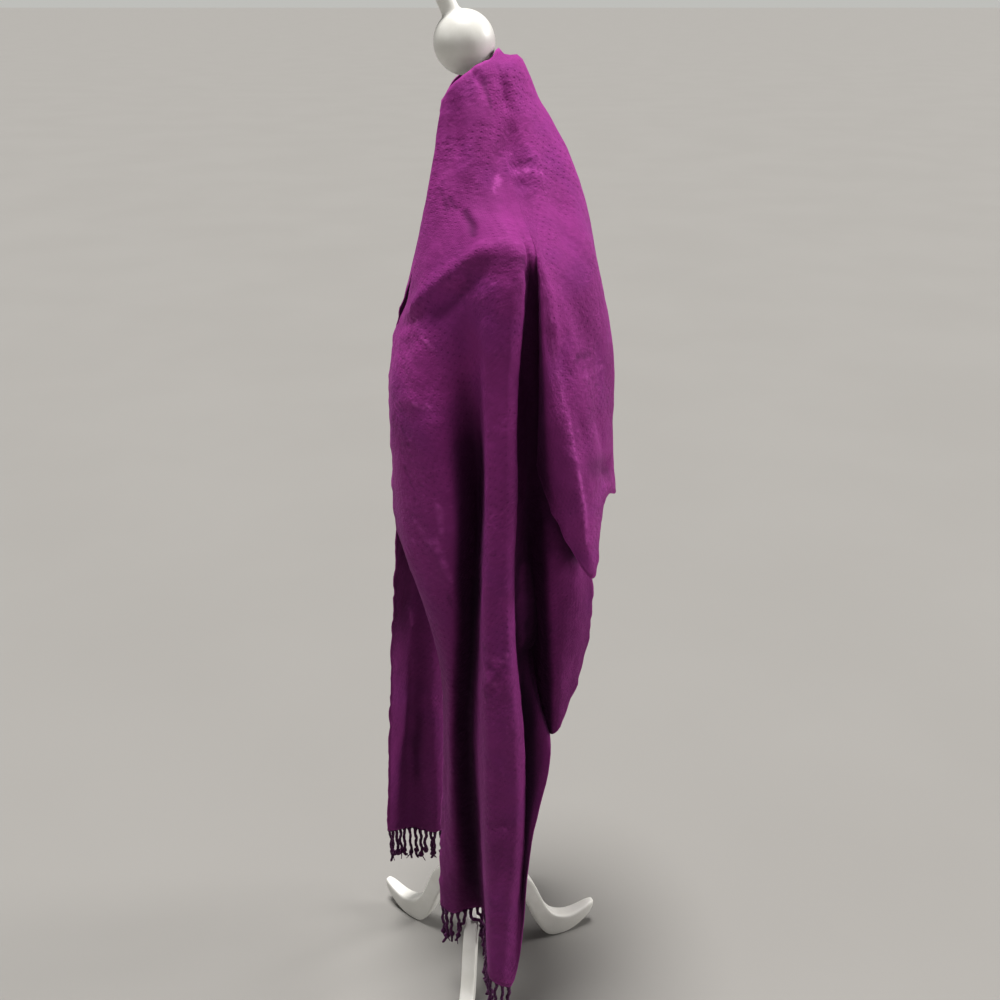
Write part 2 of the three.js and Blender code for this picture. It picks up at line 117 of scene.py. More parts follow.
# Fringe: its strands' sizes, and the ranges their chances are drawn from
STRAND_SPACING = 8.6
STRAND_LENGTH = 58
STRAND_RADIUS = 2.0
STRAND_STEP = 1.7
STRAND_SIDES = 10
PLACES_PER_STRAND = 20
PLACE_VARIES = -3, 3
LENGTH_VARIES = 0.90, 1.04
RADIUS_VARIES = 0.88, 1.12
TWIST_LENGTH = 13, 17
PLY_VALLEY = 0.80
PLY_HEIGHT = 0.30
PLY_ROUND = 0.8
WAVE_DEPTH = 0.16, 0.42
WAVE_START = 0, 6.28
WAVE_LENGTH = 17, 27
LEAN = -0.07, 0.07
CURL_START = 0.72, 0.86
CURL_MOST = 0.5, 2.6
CLIMB = 0.8  # most rise in a step along a leg
HEM_OVERLAP = 1.6
KNOT_AT = 0.80
KNOT_LENGTH = 2.5
KNOT_SWELL = 0.95
KNOT_VARIES = 0.94, 1.05
TIP_THINNING = 0.42
TIP_END = 0.45
GATHER_LENGTH = 6.5
GATHERED = 0.9, 0.55, 0.8  # wider, flatter and less twisted by this much at the hem
STRAIGHT_START = 12

# Fringe: the loose threads below each knot
TUFT_STEPS = 7
TUFT_STEP = 1.6
TUFT_RADIUS = 0.9
TUFT_TAPER = 0.07
TUFT_FALL = 1.5
TUFT_BEND = 0.16
TUFT_TWIST = 1.4
TUFT_PLY = 0.6

# Fringe: room between its strands and the legs and floor
LEG_SPACE = 3.2
FLOOR_SPACE = 3.2
TUFT_FLOOR_SPACE = 2.4

# Form and stand. Each inset makes up for what smoothing adds.
FORM_SIDES = 64
TURNED_STEPS = 56
FORM_POWER = 2.0
FORM_INSET = 0.4
BASE_INSET = 0.6
BASE_RISE = 0.3
LEG_INSET = 0.2
NECK_TILT = math.radians(25)
LEG_ANGLES = (22, 142, 262)
SMOOTH_TURNED = math.radians(32)
LEG_ROUNDING = 3.2
LEG_EDGE = math.radians(50)

# Studio: each light's name, the way it shines, its strength and colour
LIGHTS = [
    ("overhead", (0.06, 0.0, -1.0), 4.1, (1.0, 0.985, 0.97)),
    ("side", (-0.90, -0.18, -0.36), 1.72, (1.0, 0.98, 0.97)),
    ("fill_right", (-0.70, 0.65, -0.25), 0.22, (1.0, 0.98, 0.97)),
    ("fill_left", (0.90, 0.30, -0.35), 0.24, (0.98, 1.0, 0.99)),
]
LIGHT_SPREAD = math.radians(20)

# Studio: the light from all around, the wall behind and the floor
SKY = (0.93, 0.95, 0.96, 1)
SKY_STRENGTH = 0.03
WALL = (0.47, 0.47, 0.45, 1)
FLOOR_SIZE = 200
FLOOR_DROP = 0.0004

# Camera: its place from the foot of the pole, its turn and lens, and how its picture is shown
CAMERA_PLACE = Vector((0.0287, -1.107, 1.230))
CAMERA_TURN = (math.radians(64.8), 0, 0)
CAMERA_LENS = 38.88
CAMERA_SENSOR = 36
CAMERA_RANGE = (0.05, 300)
GAMMA = 0.92
EXPOSURE = 0.22

# Level sections of the form: height, front reach, back reach, half width, forward tilt.
FORM_SECTIONS = [
    (559, -38, 92, 88, 0), (563, -46, 100, 98, 0), (590, -52, 108, 106, 0),
    (640, -50, 110, 107, 0), (700, -42, 96, 97, 0), (760, -36, 84, 88, 0),
    (820, -44, 90, 93, 0), (875, -58, 100, 106, 0), (920, -66, 108, 122, 0),
    (955, -55, 112, 131, 0), (990, -36, 110, 135, 0), (1015, -30, 105, 129, 0),
    (1034, -22, 98, 114, 0), (1050, -17, 90, 90, 2), (1066, -15, 80, 62, 5),
    (1088, -16, 66, 46, 10), (1115, -17, 51, 36, 17), (1138, -21, 41, 32, 23),
    (1150.2, -21, 37, 30, 25),
]

# Sections of a leg: distance from the pole, underside, top and half width.
LEG_SECTIONS = [
    (19.4, 108, 134, 8), (40, 110, 137, 8), (58, 100, 135, 8.5), (70, 74, 127, 9),
    (80, 44, 110, 9), (90, 22, 82, 9), (100, 6, 56, 9), (110, 0, 42, 9.5),
    (120, 0, 35, 10), (136, 0, 29, 10), (152, 7, 32, 9), (166, 17, 38, 7.5), (176, 28, 40, 4.5),
]

# Each fold of the near front is a line of points from the collar down to the hem or selvage:
# collar, yoke, chest, high, waist, hip, knee, end.
NEAR_FOLDS = {
    "inner_edge": [(-25, -40, 1139), (-33, -38, 1072), (-52, -42, 984), (-80, -46, 905),
        (-86, -46, 780), (-84, -48, 695), (-45, -52, 592), (-49, -57, 152)],
    "front_turn": [(-24, -43, 1141), (-37, -60, 1068), (-60, -80, 955), (-74, -96, 880),
        (-68, -110, 775), (-61, -108, 685), (-37, -80, 515), (-41, -66, 152)],
    "ridge_b": [(-20, -44, 1148), (-31, -80, 1052), (-44, -116, 968), (-40, -134, 868),
        (-22, -137, 765), (-22, -130, 650), (-28, -98, 450), (-27, -71, 152)],
    "valley_2": [(-13, -43, 1155), (-16, -90, 1052), (-5, -135, 1000), (3, -119, 875),
        (7, -99, 765), (3, -106, 640), (-5, -84, 440), (5, -60, 152)],
    "ridge_a_front": [(-7, -42, 1160), (2, -96, 1056), (18, -148, 1018), (18, -156, 880),
        (20, -157, 768), (16, -159, 645), (18, -161, 430), (17, -168, 149)],
    "ridge_a": [(-2, -39, 1163), (14, -98, 1058), (36, -151, 1024), (34, -160, 880),
        (37, -160, 768), (37, -159, 645), (46, -162, 425), (29, -173, 142)],
    "hem_corner": [(2, -37, 1166), (22, -97, 1060), (46, -148, 1023), (45, -151, 880),
        (44, -149, 768), (42, -147, 645), (56, -150, 420), (42, -168, 135)],
    "selvage_low": [(5, -35, 1168), (28, -95, 1060), (49, -142, 1021), (45, -134, 880),
        (43, -126, 768), (43, -122, 650), (49, -116, 505), (65, -152, 345)],
    "selvage_corner": [(8, -33, 1169), (32, -93, 1060), (51, -138, 1019), (46, -115, 880),
        (46, -104, 770), (47, -103, 655), (55, -98, 565), (85, -134, 470)],
    "valley_1": [(11, -31, 1170), (35, -91, 1060), (53, -138, 1018), (54, -112, 950),
        (56, -91, 775), (60, -92, 660), (66, -90, 575), (73, -98, 487)],
    "layer_front": [(13, -29, 1171), (37, -90, 1060), (55.5, -138, 1017), (57.5, -112, 950),
        (70, -98, 780), (80, -120, 672), (86, -124, 575), (88, -126, 480)],
    "layer_mid": [(14.5, -28, 1171.5), (39, -89, 1060), (57.5, -138, 1015), (60, -111, 950),
        (81, -98, 790), (104, -116, 690), (110, -119, 600), (110, -114, 525)],
    "layer_edge": [(16.9, -26.5, 1172.3), (42.2, -87.5, 1060), (60.5, -137, 1013), (63, -110, 948),
        (91, -94, 800), (116, -93, 715), (128, -94, 650), (125, -98, 578)],
}

# Folds of the back: collar, crown, nape, yoke, blade, middle, low, end.
BACK_FOLDS = {
    "near_flap_edge": [(17.5, -26, 1172.5), (22, -36, 1163), (28, -50, 1128), (43, -87, 1060),
        (62.5, -137, 1011), (65, -122, 945), (67, -115, 865), (67, -114, 800)],
    "near_flap_mid": [(19, -24, 1173.5), (26, -35, 1164), (33, -48, 1128), (46, -85, 1060),
        (64, -141, 1009), (67, -147, 940), (73, -140, 832), (80, -133, 764)],
    "near_crest_front": [(20, -21, 1174.5), (30, -33, 1167), (38, -46, 1128), (50, -82, 1061),
        (66.5, -141, 1007), (71.5, -149, 930), (88, -150, 815), (101, -142, 720)],
    "near_crest": [(22, -17, 1175.5), (35, -29, 1169), (44, -42, 1130), (57, -79, 1062),
        (71, -138, 1004), (83, -143, 910), (104, -145, 802), (124, -136, 684)],
    "near_flap_rear": [(24, -12, 1177), (40, -23, 1171), (52, -34, 1133), (70, -66, 1066),
        (86, -119, 1004), (103, -127, 906), (118, -125, 808), (131, -114, 706)],
    "near_blade": [(26, -6, 1178), (45, -14, 1173), (60, -22, 1135), (86, -44, 1074),
        (115, -74, 1010), (133, -78, 905), (138, -74, 820), (140, -68, 744)],
    "back_near_ridge": [(26.5, -1, 1179), (47, -4, 1174), (64, -8, 1137), (97, -22, 1082),
        (124, -34, 990), (145, -34, 890), (149, -30, 808), (155, -26, 730)],
    "back_centre": [(26, 5, 1178), (46, 6, 1173), (64, 6, 1137), (98, 4, 1084), (125, 4, 990),
        (144, 4, 888), (149, 6, 804), (158, 8, 724)],
    "back_far_ridge": [(24.5, 11, 1177), (43, 17, 1171), (60, 22, 1135), (94, 36, 1077),
        (120, 46, 990), (140, 50, 888), (147, 52, 804), (155, 52, 722)],
    "far_blade": [(22.5, 16, 1176), (39, 26, 1168), (52, 34, 1132), (80, 60, 1068),
        (110, 92, 1000), (124, 98, 900), (128, 98, 800), (131, 96, 716)],
    "far_flap_rear": [(21, 20, 1175), (34, 31, 1166), (44, 42, 1130), (64, 76, 1063),
        (92, 124, 1002), (110, 134, 900), (118, 132, 795), (124, 126, 690)],
    "far_crest": [(19.5, 23, 1174), (29, 35, 1164), (38, 47, 1128), (54, 81, 1061),
        (78, 137, 1004), (90, 147, 900), (102, 147, 790), (112, 138, 672)],
    "far_flap_mid": [(18, 25.5, 1173), (26, 36, 1163), (33, 49, 1128), (47, 86, 1060),
        (71, 136, 1008), (77, 139, 915), (84, 138, 828), (90, 131, 730)],
    "far_flap_edge": [(16.5, 28, 1172), (22, 37, 1162), (28, 51, 1127), (44, 88, 1060),
        (69, 131, 1010), (72, 123, 935), (71, 115, 857), (69, 112, 782)],
}

# Folds of the far front, as for the near one.
FAR_FOLDS = {
    "inner_edge": [(-24, 41, 1140), (-35, 38, 1074), (-57, 36, 980), (-84, 38, 900),
        (-91, 40, 775), (-96, 46, 640), (-109, 50, 470), (-128, 58, 173)],
    "valley_3": [(-23, 43, 1142), (-39, 60, 1067), (-68, 78, 950), (-80, 90, 872), (-84, 96, 765),
        (-84, 94, 640), (-90, 90, 460), (-98, 88, 150)],
    "ridge_c": [(-20, 44, 1147), (-32, 78, 1053), (-50, 112, 968), (-58, 128, 870),
        (-58, 124, 765), (-56, 114, 640), (-58, 92, 450), (-60, 74, 158)],
    "valley_4": [(-14, 43, 1154), (-18, 90, 1053), (-12, 136, 1000), (-14, 142, 875),
        (-20, 132, 765), (-24, 126, 640), (-30, 118, 440), (-36, 112, 156)],
    "ridge_d": [(-8, 42, 1160), (0, 96, 1056), (16, 148, 1018), (18, 156, 880), (16, 158, 768),
        (12, 160, 645), (4, 164, 430), (-8, 164, 155)],
    "valley_5": [(-3, 40, 1163), (13, 98, 1058), (34, 151, 1024), (36, 152, 880), (36, 142, 768),
        (34, 136, 645), (30, 130, 430), (20, 132, 151)],
    "hem_corner": [(1, 38, 1166), (22, 97, 1060), (46, 149, 1023), (51, 152, 880), (56, 152, 768),
        (60, 150, 645), (62, 154, 420), (50, 152, 146)],
    "selvage_low": [(5, 36, 1168), (28, 95, 1060), (52, 143, 1021), (58, 136, 880), (62, 130, 768),
        (66, 130, 655), (70, 136, 520), (72, 146, 350)],
    "valley_6": [(8, 34, 1169), (32, 93, 1060), (56, 137, 1018), (62, 112, 885), (65, 102, 775),
        (68, 104, 680), (70, 108, 610), (74, 116, 520)],
    "layer_mid": [(11, 32, 1170), (36, 91, 1060), (59, 132, 1016), (67, 103, 890), (76, 100, 790),
        (88, 108, 690), (94, 114, 620), (97, 114, 540)],
    "layer_edge": [(15.8, 28.6, 1171.8), (43, 88.6, 1060), (64.5, 128.5, 1011), (73, 101, 895),
        (88, 96, 800), (106, 98, 715), (114, 100, 650), (114, 102, 590)],
}

# The stretches a crease can lie in: 0 the near front, 1 the back, 2 the far front.
STRETCHES = {"near": [0], "back": [1], "far": [2], "near_collar": [0, 1], "far_collar": [1, 2]}

# Creases in the cloth, by stretch: width, depth and the line they follow. A depth below 0 is a
# raised ridge.
CREASES = {
    "near_collar": [
        (4.5, 2.6, [(2, -38, 1168), (8, -41, 1158), (14, -44, 1142)]),
        (7, 1.6, [(-20, -44, 1148), (-16, -58, 1118), (-8, -74, 1090)]),
        (5, -1.6, [(-14, -90, 1062), (0, -106, 1054), (12, -122, 1046)]),
        (9, -2.6, [(16, -45, 1146), (10, -64, 1118), (0, -82, 1082), (-8, -94, 1058)]),
        (9, 3.2, [(38, -60, 1110), (27, -80, 1083), (20, -98, 1066), (10, -118, 1046)]),
        (9, 2.2, [(-8, -46, 1150), (-14, -60, 1120), (-22, -80, 1070)]),
        (9, 2.6, [(36, -50, 1124), (48, -74, 1082), (52, -88, 1060)]),
        (10, -2.4, [(62, -50, 1102), (66, -74, 1068), (70, -104, 1040)]),
        (4.2, 2.8, [(40, -74, 1086), (55, -65, 1083), (70, -58, 1077)]),
        (4.2, -1.8, [(41, -76, 1078), (56, -68, 1075), (71, -61, 1069)]),
        (4.6, 2.2, [(26, -26, 1171), (32, -37, 1152), (36, -46, 1128)]),
        (9, 1.6, [(60, -14, 1140), (84, -18, 1104), (104, -12, 1060)]),
    ],
    "near": [
        (4.2, 2.6, [(-15, -94, 1055), (-2, -111, 1044), (8, -127, 1036)]),
        (5.5, 2.2, [(-72, -66, 926), (-48, -114, 954), (-29, -126, 974)]),
        (5, -1.3, [(-72, -72, 916), (-50, -112, 942), (-31, -127, 962)]),
        (3.6, -1.5, [(-71, -103, 864), (-56, -121, 873), (-41, -134, 873)]),
        (11, 2.0, [(-20, -134, 1000), (-34, -132, 930), (-42, -134, 850)]),
        (9, 1.6, [(26, -154, 1004), (27, -160, 920), (26, -161, 800)]),
        (3.4, -2.0, [(-40, -131, 728), (-30, -133, 700), (-23, -133, 682)]),
        (3.6, 1.5, [(-36, -131, 722), (-24, -134, 702)]),
        (3.6, -2.0, [(-86, -66, 684), (-70, -106, 699), (-60, -117, 716)]),
        (4.2, 1.6, [(-80, -88, 674), (-66, -110, 684)]),
        (3.6, -1.6, [(9, -149, 548), (20, -161, 576), (32, -162, 600)]),
        (3.8, -1.4, [(14, -152, 534), (27, -161, 560), (38, -161, 586)]),
        (4.5, 1.2, [(12, -152, 542), (30, -161, 574)]),
        (5, 1.6, [(14, -163, 376), (32, -165, 380), (48, -163, 377)]),
        (10, 1.4, [(24, -163, 700), (24, -163, 600), (29, -164, 480)]),
        (9, 1.8, [(40, -162, 520), (34, -166, 400), (24, -168, 260)]),
        (10, 2.0, [(-60, -112, 640), (-44, -112, 560), (-36, -96, 470)]),
        (8, 1.8, [(94, -112, 640), (98, -115, 560), (92, -118, 500)]),
        (6.5, -3.4, [(-66, -92, 944), (-40, -114, 975), (-8, -134, 1006), (14, -141, 1021),
                     (33, -146, 1025), (50, -147, 1019), (60, -140, 1008)]),
        (9, 3.0, [(-56, -106, 926), (-32, -124, 956), (-6, -136, 989), (16, -148, 1004),
                  (44, -152, 1003)]),
    ],
    "back": [
        (11, 2.2, [(84, -44, 1078), (92, -76, 1044), (96, -108, 1008)]),
        (4.4, 2.4, [(106, -129, 932), (120, -112, 924), (134, -82, 912)]),
        (5.5, 3.4, [(122, -98, 790), (137, -76, 781), (150, -42, 774)]),
        (7, -2.8, [(126, -92, 764), (140, -70, 755), (152, -40, 750)]),
        (7, 1.4, [(96, -134, 880), (106, -136, 850), (112, -134, 820)]),
        (3.8, 3.4, [(31, -32, 1168), (35, -12, 1175), (36, 4, 1177), (34, 20, 1173)]),
        (3.8, -2.4, [(23, -18, 1175), (26, -4, 1179), (25, 12, 1177)]),
        (9, 1.6, [(112, -118, 860), (126, -98, 840), (134, -80, 800)]),
        (4.6, -1.4, [(108, -126, 922), (122, -110, 914), (134, -84, 902)]),
        (13, 1.9, [(80, -134, 1004), (112, -112, 940), (138, -64, 850)]),
        (12, 1.7, [(60, -88, 1056), (92, -62, 1038), (118, -24, 1000)]),
        (12, 1.8, [(92, -128, 972), (118, -104, 880), (134, -78, 780)]),
        (5, -2.0, [(62, -140, 1020), (74, -142, 975), (86, -148, 905), (105, -149, 802),
                   (122, -138, 700)]),
        (14, 2.0, [(128, 10, 980), (150, 22, 870), (156, 34, 760)]),
        (12, 1.8, [(70, 88, 1056), (100, 84, 1014), (122, 66, 950)]),
        (12, 1.8, [(90, 130, 980), (112, 120, 900), (128, 98, 800)]),
        (4.6, 2.2, [(106, 130, 900), (118, 118, 890), (128, 98, 884)]),
        (8, 1.6, [(80, 142, 930), (88, 146, 850), (96, 144, 760)]),
    ],
    "far": [
        (4.4, 2.4, [(-16, 92, 1056), (0, 112, 1044), (10, 128, 1036)]),
        (5.5, 2.0, [(-74, 70, 920), (-52, 112, 950), (-34, 128, 968)]),
        (11, 2.0, [(-24, 134, 1000), (-44, 130, 920), (-60, 126, 850)]),
        (9, 1.6, [(22, 156, 1000), (20, 160, 900), (16, 162, 780)]),
        (4.2, -1.8, [(-92, 62, 720), (-76, 108, 706), (-62, 122, 690)]),
        (4.2, -1.6, [(8, 162, 640), (22, 158, 610), (34, 142, 590)]),
        (10, 1.8, [(-96, 92, 560), (-104, 84, 420), (-112, 74, 260)]),
        (9, 1.6, [(10, 166, 560), (4, 166, 440), (-6, 166, 300)]),
        (9, 1.5, [(-70, 96, 420), (-78, 86, 300), (-86, 82, 200)]),
    ],
    "far_collar": [
        (4.4, 2.4, [(44, 60, 1100), (60, 70, 1078), (78, 64, 1066)]),
        (7, 1.6, [(-20, 44, 1146), (-16, 60, 1112), (-6, 78, 1084)]),
    ],
}

# Pressed lines too fine for the sheet's own points, by stretch, as painted highlights and painted
# shade: how much and how wide, then the places they join. A pale painted highlight is above 0, and
# dark painted shade is below 0; both also raise or sink the bump.
PAINTED_HIGHLIGHT = (1.0, 2.9)
PAINTED_SHADE = (-0.55, 3.8)
PAINTED_CREASE_LIGHTS = {
    "near_collar": [
        ((-0.6, 3.8), [(-20, -92, 1059), (-13, -97, 1054), (-4, -104, 1048)]),
        ((-0.7, 4.2), [(-4, -104, 1048), (3, -114, 1040), (9, -125, 1029)]),
        (PAINTED_SHADE, [(-27, -78, 1062), (-21, -82, 1055), (-19, -88, 1048)]),
        (PAINTED_SHADE, [(14, -40, 1158), (16, -46, 1146), (18, -52, 1134)]),
        (PAINTED_HIGHLIGHT, [(43, -73, 1081), (54, -67, 1079), (65, -62, 1075)]),
        (PAINTED_SHADE, [(40, -71, 1088), (50, -66, 1087), (58, -61, 1086)]),
        (PAINTED_HIGHLIGHT, [(28, -82, 1080), (24, -92, 1068)]),
    ],
    "near": [
        (PAINTED_HIGHLIGHT, [(-72, -100, 862), (-63, -113, 867), (-52, -125, 872), (-40, -134, 871)]),
        (PAINTED_HIGHLIGHT, [(-33, -133, 768), (-31, -133, 745), (-37, -131, 724), (-30, -133, 702),
                (-22, -133, 681)]),
        (PAINTED_HIGHLIGHT, [(-58, -119, 742), (-46, -128, 726), (-37, -131, 716)]),
        (PAINTED_HIGHLIGHT, [(-76, -92, 690), (-68, -107, 702), (-60, -117, 717)]),
        (PAINTED_HIGHLIGHT, [(12, -156, 604), (22, -161, 601), (30, -162, 598), (36, -161, 606)]),
        (PAINTED_HIGHLIGHT, [(10, -151, 590), (18, -159, 577), (25, -162, 568)]),
        (PAINTED_SHADE, [(8, -152, 612), (20, -160, 589), (30, -162, 584)]),
        (PAINTED_HIGHLIGHT, [(22, -163, 378), (32, -165, 376), (41, -165, 379)]),
        (PAINTED_HIGHLIGHT, [(-54, -108, 948), (-45, -116, 938), (-36, -124, 926)]),
        (PAINTED_SHADE, [(-62, -112, 800), (-57, -118, 784)]),
        (PAINTED_SHADE, [(-66, -108, 840), (-60, -116, 822)]),
        (PAINTED_SHADE, [(-28, -134, 660), (-20, -132, 648)]),
        ((-0.45, 9.0), [(-35, -126, 955), (-15, -135, 977), (2, -139, 1002), (15, -143, 1011),
                        (31, -148, 1014), (45, -148, 1009), (53, -146, 1000)]),
        ((-0.75, 12.0), [(3, -106, 660), (-2, -96, 540), (-5, -84, 440), (0, -72, 300),
                         (5, -61, 156)]),
        ((0.3, 4.0), [(-18, -131, 987), (-3, -135, 1009), (15, -140, 1022), (33, -146, 1025),
                      (50, -147, 1019), (60, -140, 1008)]),
    ],
    "back": [
        ((0.42, 7.5), [(64, -140, 1004), (70, -145, 960), (76, -147, 930), (84, -146, 895),
                       (92, -149, 850), (99, -148, 815)]),
        (PAINTED_HIGHLIGHT, [(80, -130, 742), (90, -135, 748)]),
        (PAINTED_HIGHLIGHT, [(64, -140, 1006), (71, -142, 975), (77, -146, 935), (83, -145, 905)]),
        (PAINTED_HIGHLIGHT, [(83, -145, 905), (90, -146, 868), (98, -146, 832), (104, -145, 800)]),
        (PAINTED_HIGHLIGHT, [(104, -145, 800), (110, -143, 766), (117, -140, 728)]),
        ((-0.6, 6.0), [(106, -132, 917), (112, -124, 919), (122, -106, 916)]),
        ((-0.62, 19.0), [(118, -126, 806), (130, -99, 792), (146, -56, 764)]),
        (PAINTED_HIGHLIGHT, [(110, -120, 898), (122, -106, 894), (131, -86, 896)]),
        (PAINTED_SHADE, [(128, -88, 786), (137, -76, 780), (146, -52, 776)]),
        (PAINTED_HIGHLIGHT, [(108, 122, 900), (120, 112, 894)]),
        (PAINTED_SHADE, [(130, 40, 960), (140, 52, 930), (142, 60, 900)]),
    ],
    "far": [
        (PAINTED_HIGHLIGHT, [(-66, 108, 880), (-52, 122, 872), (-40, 132, 876)]),
        (PAINTED_HIGHLIGHT, [(-98, 88, 520), (-92, 92, 506), (-86, 92, 488)]),
        (PAINTED_HIGHLIGHT, [(8, 162, 604), (18, 160, 596), (28, 152, 600)]),
        (PAINTED_SHADE, [(-16, 140, 800), (-8, 146, 780)]),
    ],
}


def span_points(p0, p1, p2, p3, t):
    """Centripetal spline from p1 to p2 at t, for arrays of points."""
    def gap(a, b):
        return np.maximum(np.linalg.norm(b - a, axis=-1, keepdims=True), 1e-6) ** 0.5

    d0, d1, d2 = gap(p0, p1), gap(p1, p2), gap(p2, p3)
    m1 = ((p1 - p0) / d0 - (p2 - p0) / (d0 + d1) + (p2 - p1) / d1) * d1
    m2 = ((p2 - p1) / d1 - (p3 - p1) / (d1 + d2) + (p3 - p2) / d2) * d1
    start = 2 * t**3 - 3 * t**2 + 1
    return start * p1 + (t**3 - 2 * t**2 + t) * m1 + (1 - start) * p2 + (t**3 - t**2) * m2


def through(points, steps, before=None, after=None):
    """Curve through points[i], with steps[i] parts from point i to the next one."""
    points = np.asarray(points, float)
    before = 2 * points[0] - points[1] if before is None else before
    after = 2 * points[-1] - points[-2] if after is None else after
    full = np.concatenate([before[None], points, after[None]])
    made = [points[0]]
    for i, count in enumerate(steps):
        for k in range(1, count + 1):
            made.append(span_points(full[i], full[i + 1], full[i + 2], full[i + 3], k / count))
    return np.stack(made)


def evenly(line, count):
    """The line again, as count points at equal distances along it."""
    gaps = np.linalg.norm(np.diff(line, axis=0), axis=1)
    along = np.concatenate([[0], np.cumsum(gaps)])
    at = np.linspace(0, along[-1], count)
    return np.stack([np.interp(at, along, line[:, i]) for i in range(3)], axis=1)


def front_rib(points):
    """A front fold's points: the rows beside the flap, then the hanging rows."""
    line = through(points, [CURVE_PARTS] * (len(points) - 1))
    turn = SHOULDER_POINTS * CURVE_PARTS
    upper, lower = line[: turn + 1], line[turn:]
    return np.concatenate([evenly(upper, SHOULDER_ROWS), evenly(lower, HANGING_ROWS + 1)[1:]])


def back_rib(points):
    """A back fold's points, down to the lower selvage."""
    return evenly(through(points, [CURVE_PARTS] * (len(points) - 1)), SHOULDER_ROWS)


def clear_of_form(points, room):
    """Moves points out of the form, to the given room from its surface."""
    z = points[:, 2]
    rows = np.array(FORM_SECTIONS, float)
    front, back, half = (np.interp(z, rows[:, 0], rows[:, i]) for i in (1, 2, 3))
    rise = np.diff(rows[:, 0])
    i = np.clip(np.searchsorted(rows[:, 0], z) - 1, 0, len(rise) - 1)
    front_slope = np.abs(np.diff(rows[:, 1]) / rise)[i]
    back_slope = np.abs(np.diff(rows[:, 2]) / rise)[i]
    deep = (back - front) / 2 + room * np.hypot(1, np.maximum(front_slope, back_slope))
    wide = half + room * np.hypot(1, np.abs(np.diff(rows[:, 3]) / rise)[i])
    centre = (front + back) / 2
    dx, dy = np.abs(points[:, 0] - centre) / deep, np.abs(points[:, 1]) / wide
    reach = (dx**FORM_POWER + dy**FORM_POWER) ** (1 / FORM_POWER)
    inside = (reach < 1) & (reach > 1e-6) & (z >= rows[0, 0]) & (z <= rows[-1, 0])
    scale = np.where(inside, 1 / np.maximum(reach, 1e-6), 1)
    return np.stack([centre + (points[:, 0] - centre) * scale, points[:, 1] * scale, z], axis=1)


def distance_to_line(points, line):
    """Distance from each point to a line of points, and how far along it, from 0 to 1."""
    line = np.asarray(line, float)
    lengths = np.linalg.norm(np.diff(line, axis=0), axis=1)
    starts = np.concatenate([[0], np.cumsum(lengths)])
    best = np.full(len(points), 1e9)
    along = np.zeros(len(points))
    for i, length in enumerate(lengths):
        way = (line[i + 1] - line[i]) / length
        t = np.clip((points - line[i]) @ way, 0, length)
        away = np.linalg.norm(points - (line[i] + t[:, None] * way), axis=1)
        nearer = away < best
        best = np.where(nearer, away, best)
        along = np.where(nearer, (starts[i] + t) / starts[-1], along)
    return best, along


def soft_noise(points, scale, seed):
    """Smooth noise from about -1 to 1 at each point; scale is in millimetres for each axis."""
    shift = Vector([seed * step for step in NOISE_STEPS])
    return np.array([
        noise.noise(Vector((p[0] / scale[0], p[1] / scale[1], p[2] / scale[2])) + shift)
        for p in points
    ])


def mesh_object(name, points, faces):
    """A new object from points in millimetres about the pole, on the ground at the origin."""
    mesh = bpy.data.meshes.new(name)
    place = np.array(POLE)
    mesh.from_pydata([tuple(p) for p in np.asarray(points) * MM + place], [], faces)
    mesh.update()
    mesh.shade_smooth()
    piece = bpy.data.objects.new(name, mesh)
    bpy.context.scene.collection.objects.link(piece)
    return piece


def only(piece):
    """Leaves one object selected and active."""
    for other in bpy.context.view_layer.objects:
        other.select_set(False)
    piece.select_set(True)
    bpy.context.view_layer.objects.active = piece


def finish_modifiers(piece):
    """Applies every modifier of the object."""
    only(piece)
    for modifier in list(piece.modifiers):
        bpy.ops.object.modifier_apply(modifier=modifier.name)


def read(items, key, kind=float, wide=1):
    """One value, or a row of them, from each item of a mesh."""
    values = np.empty(len(items) * wide, dtype=kind)
    items.foreach_get(key, values)
    return values.reshape(-1, wide) if wide > 1 else values


def keep_on_points(piece, name, values):
    """Stores one number for each point, for the finish to read."""
    piece.data.attributes.new(name, "FLOAT", "POINT").data.foreach_set("value", values)


def at_corners(piece, values):
    """The points' values again, one for each corner of the faces."""
    return values[read(piece.data.loops, "vertex_index", np.int32)]


def keep_as_map(piece, name, places):
    """Stores a flat place for each corner of the faces, for the finish to read."""
    piece.data.uv_layers.new(name=name).data.foreach_set("uv", places.ravel())


def ribs_of_cloth():
    """The folds of each stretch, in order round the form."""
    near = np.stack([front_rib(points) for points in NEAR_FOLDS.values()])
    back = np.stack([back_rib(points) for points in BACK_FOLDS.values()])
    far = np.stack([front_rib(points) for points in reversed(FAR_FOLDS.values())])
    return near, back, far


def hanging_rows(ribs, flap_end, steps, edge_first):
    """The rows of a front below its flap. Its free edge starts on from the fold above it."""
    upper = SHOULDER_ROWS
    edge, beside = (ribs[0], ribs[1]) if edge_first else (ribs[-1], ribs[-2])
    toward_flap = flap_end - edge[upper - 1]
    fade = np.clip(np.arange(1, HANGING_ROWS + 1) / FLAP_FADE, 0, 1)[:, None]
    open_end = 2 * edge[upper:] - beside[upper:]
    ghost = (edge[upper:] + toward_flap) * (1 - fade) + open_end * fade
    if edge_first:
        return through(ribs[:, upper:], steps, before=ghost)
    return through(ribs[:, upper:], steps, after=ghost)


def join_at_collar(front, beside):
    """Brings a front's folds smoothly up to the back's first fold, from the collar down."""
    rows = np.arange(SHOULDER_ROWS)
    fade = np.clip((COLLAR_ROWS - rows) / COLLAR_FADE, 0, 1)
    fade = (fade * fade * (3 - 2 * fade))[:, None]
    beyond = beside[:SHOULDER_ROWS] - front[-1, :SHOULDER_ROWS]
    gap = front[-1, 0] - beside[0]
    for i, fold in enumerate(front):
        share = (i / (len(front) - 1)) ** COLLAR_SHARE
        fold[:SHOULDER_ROWS] += share * fade * (beyond + gap)


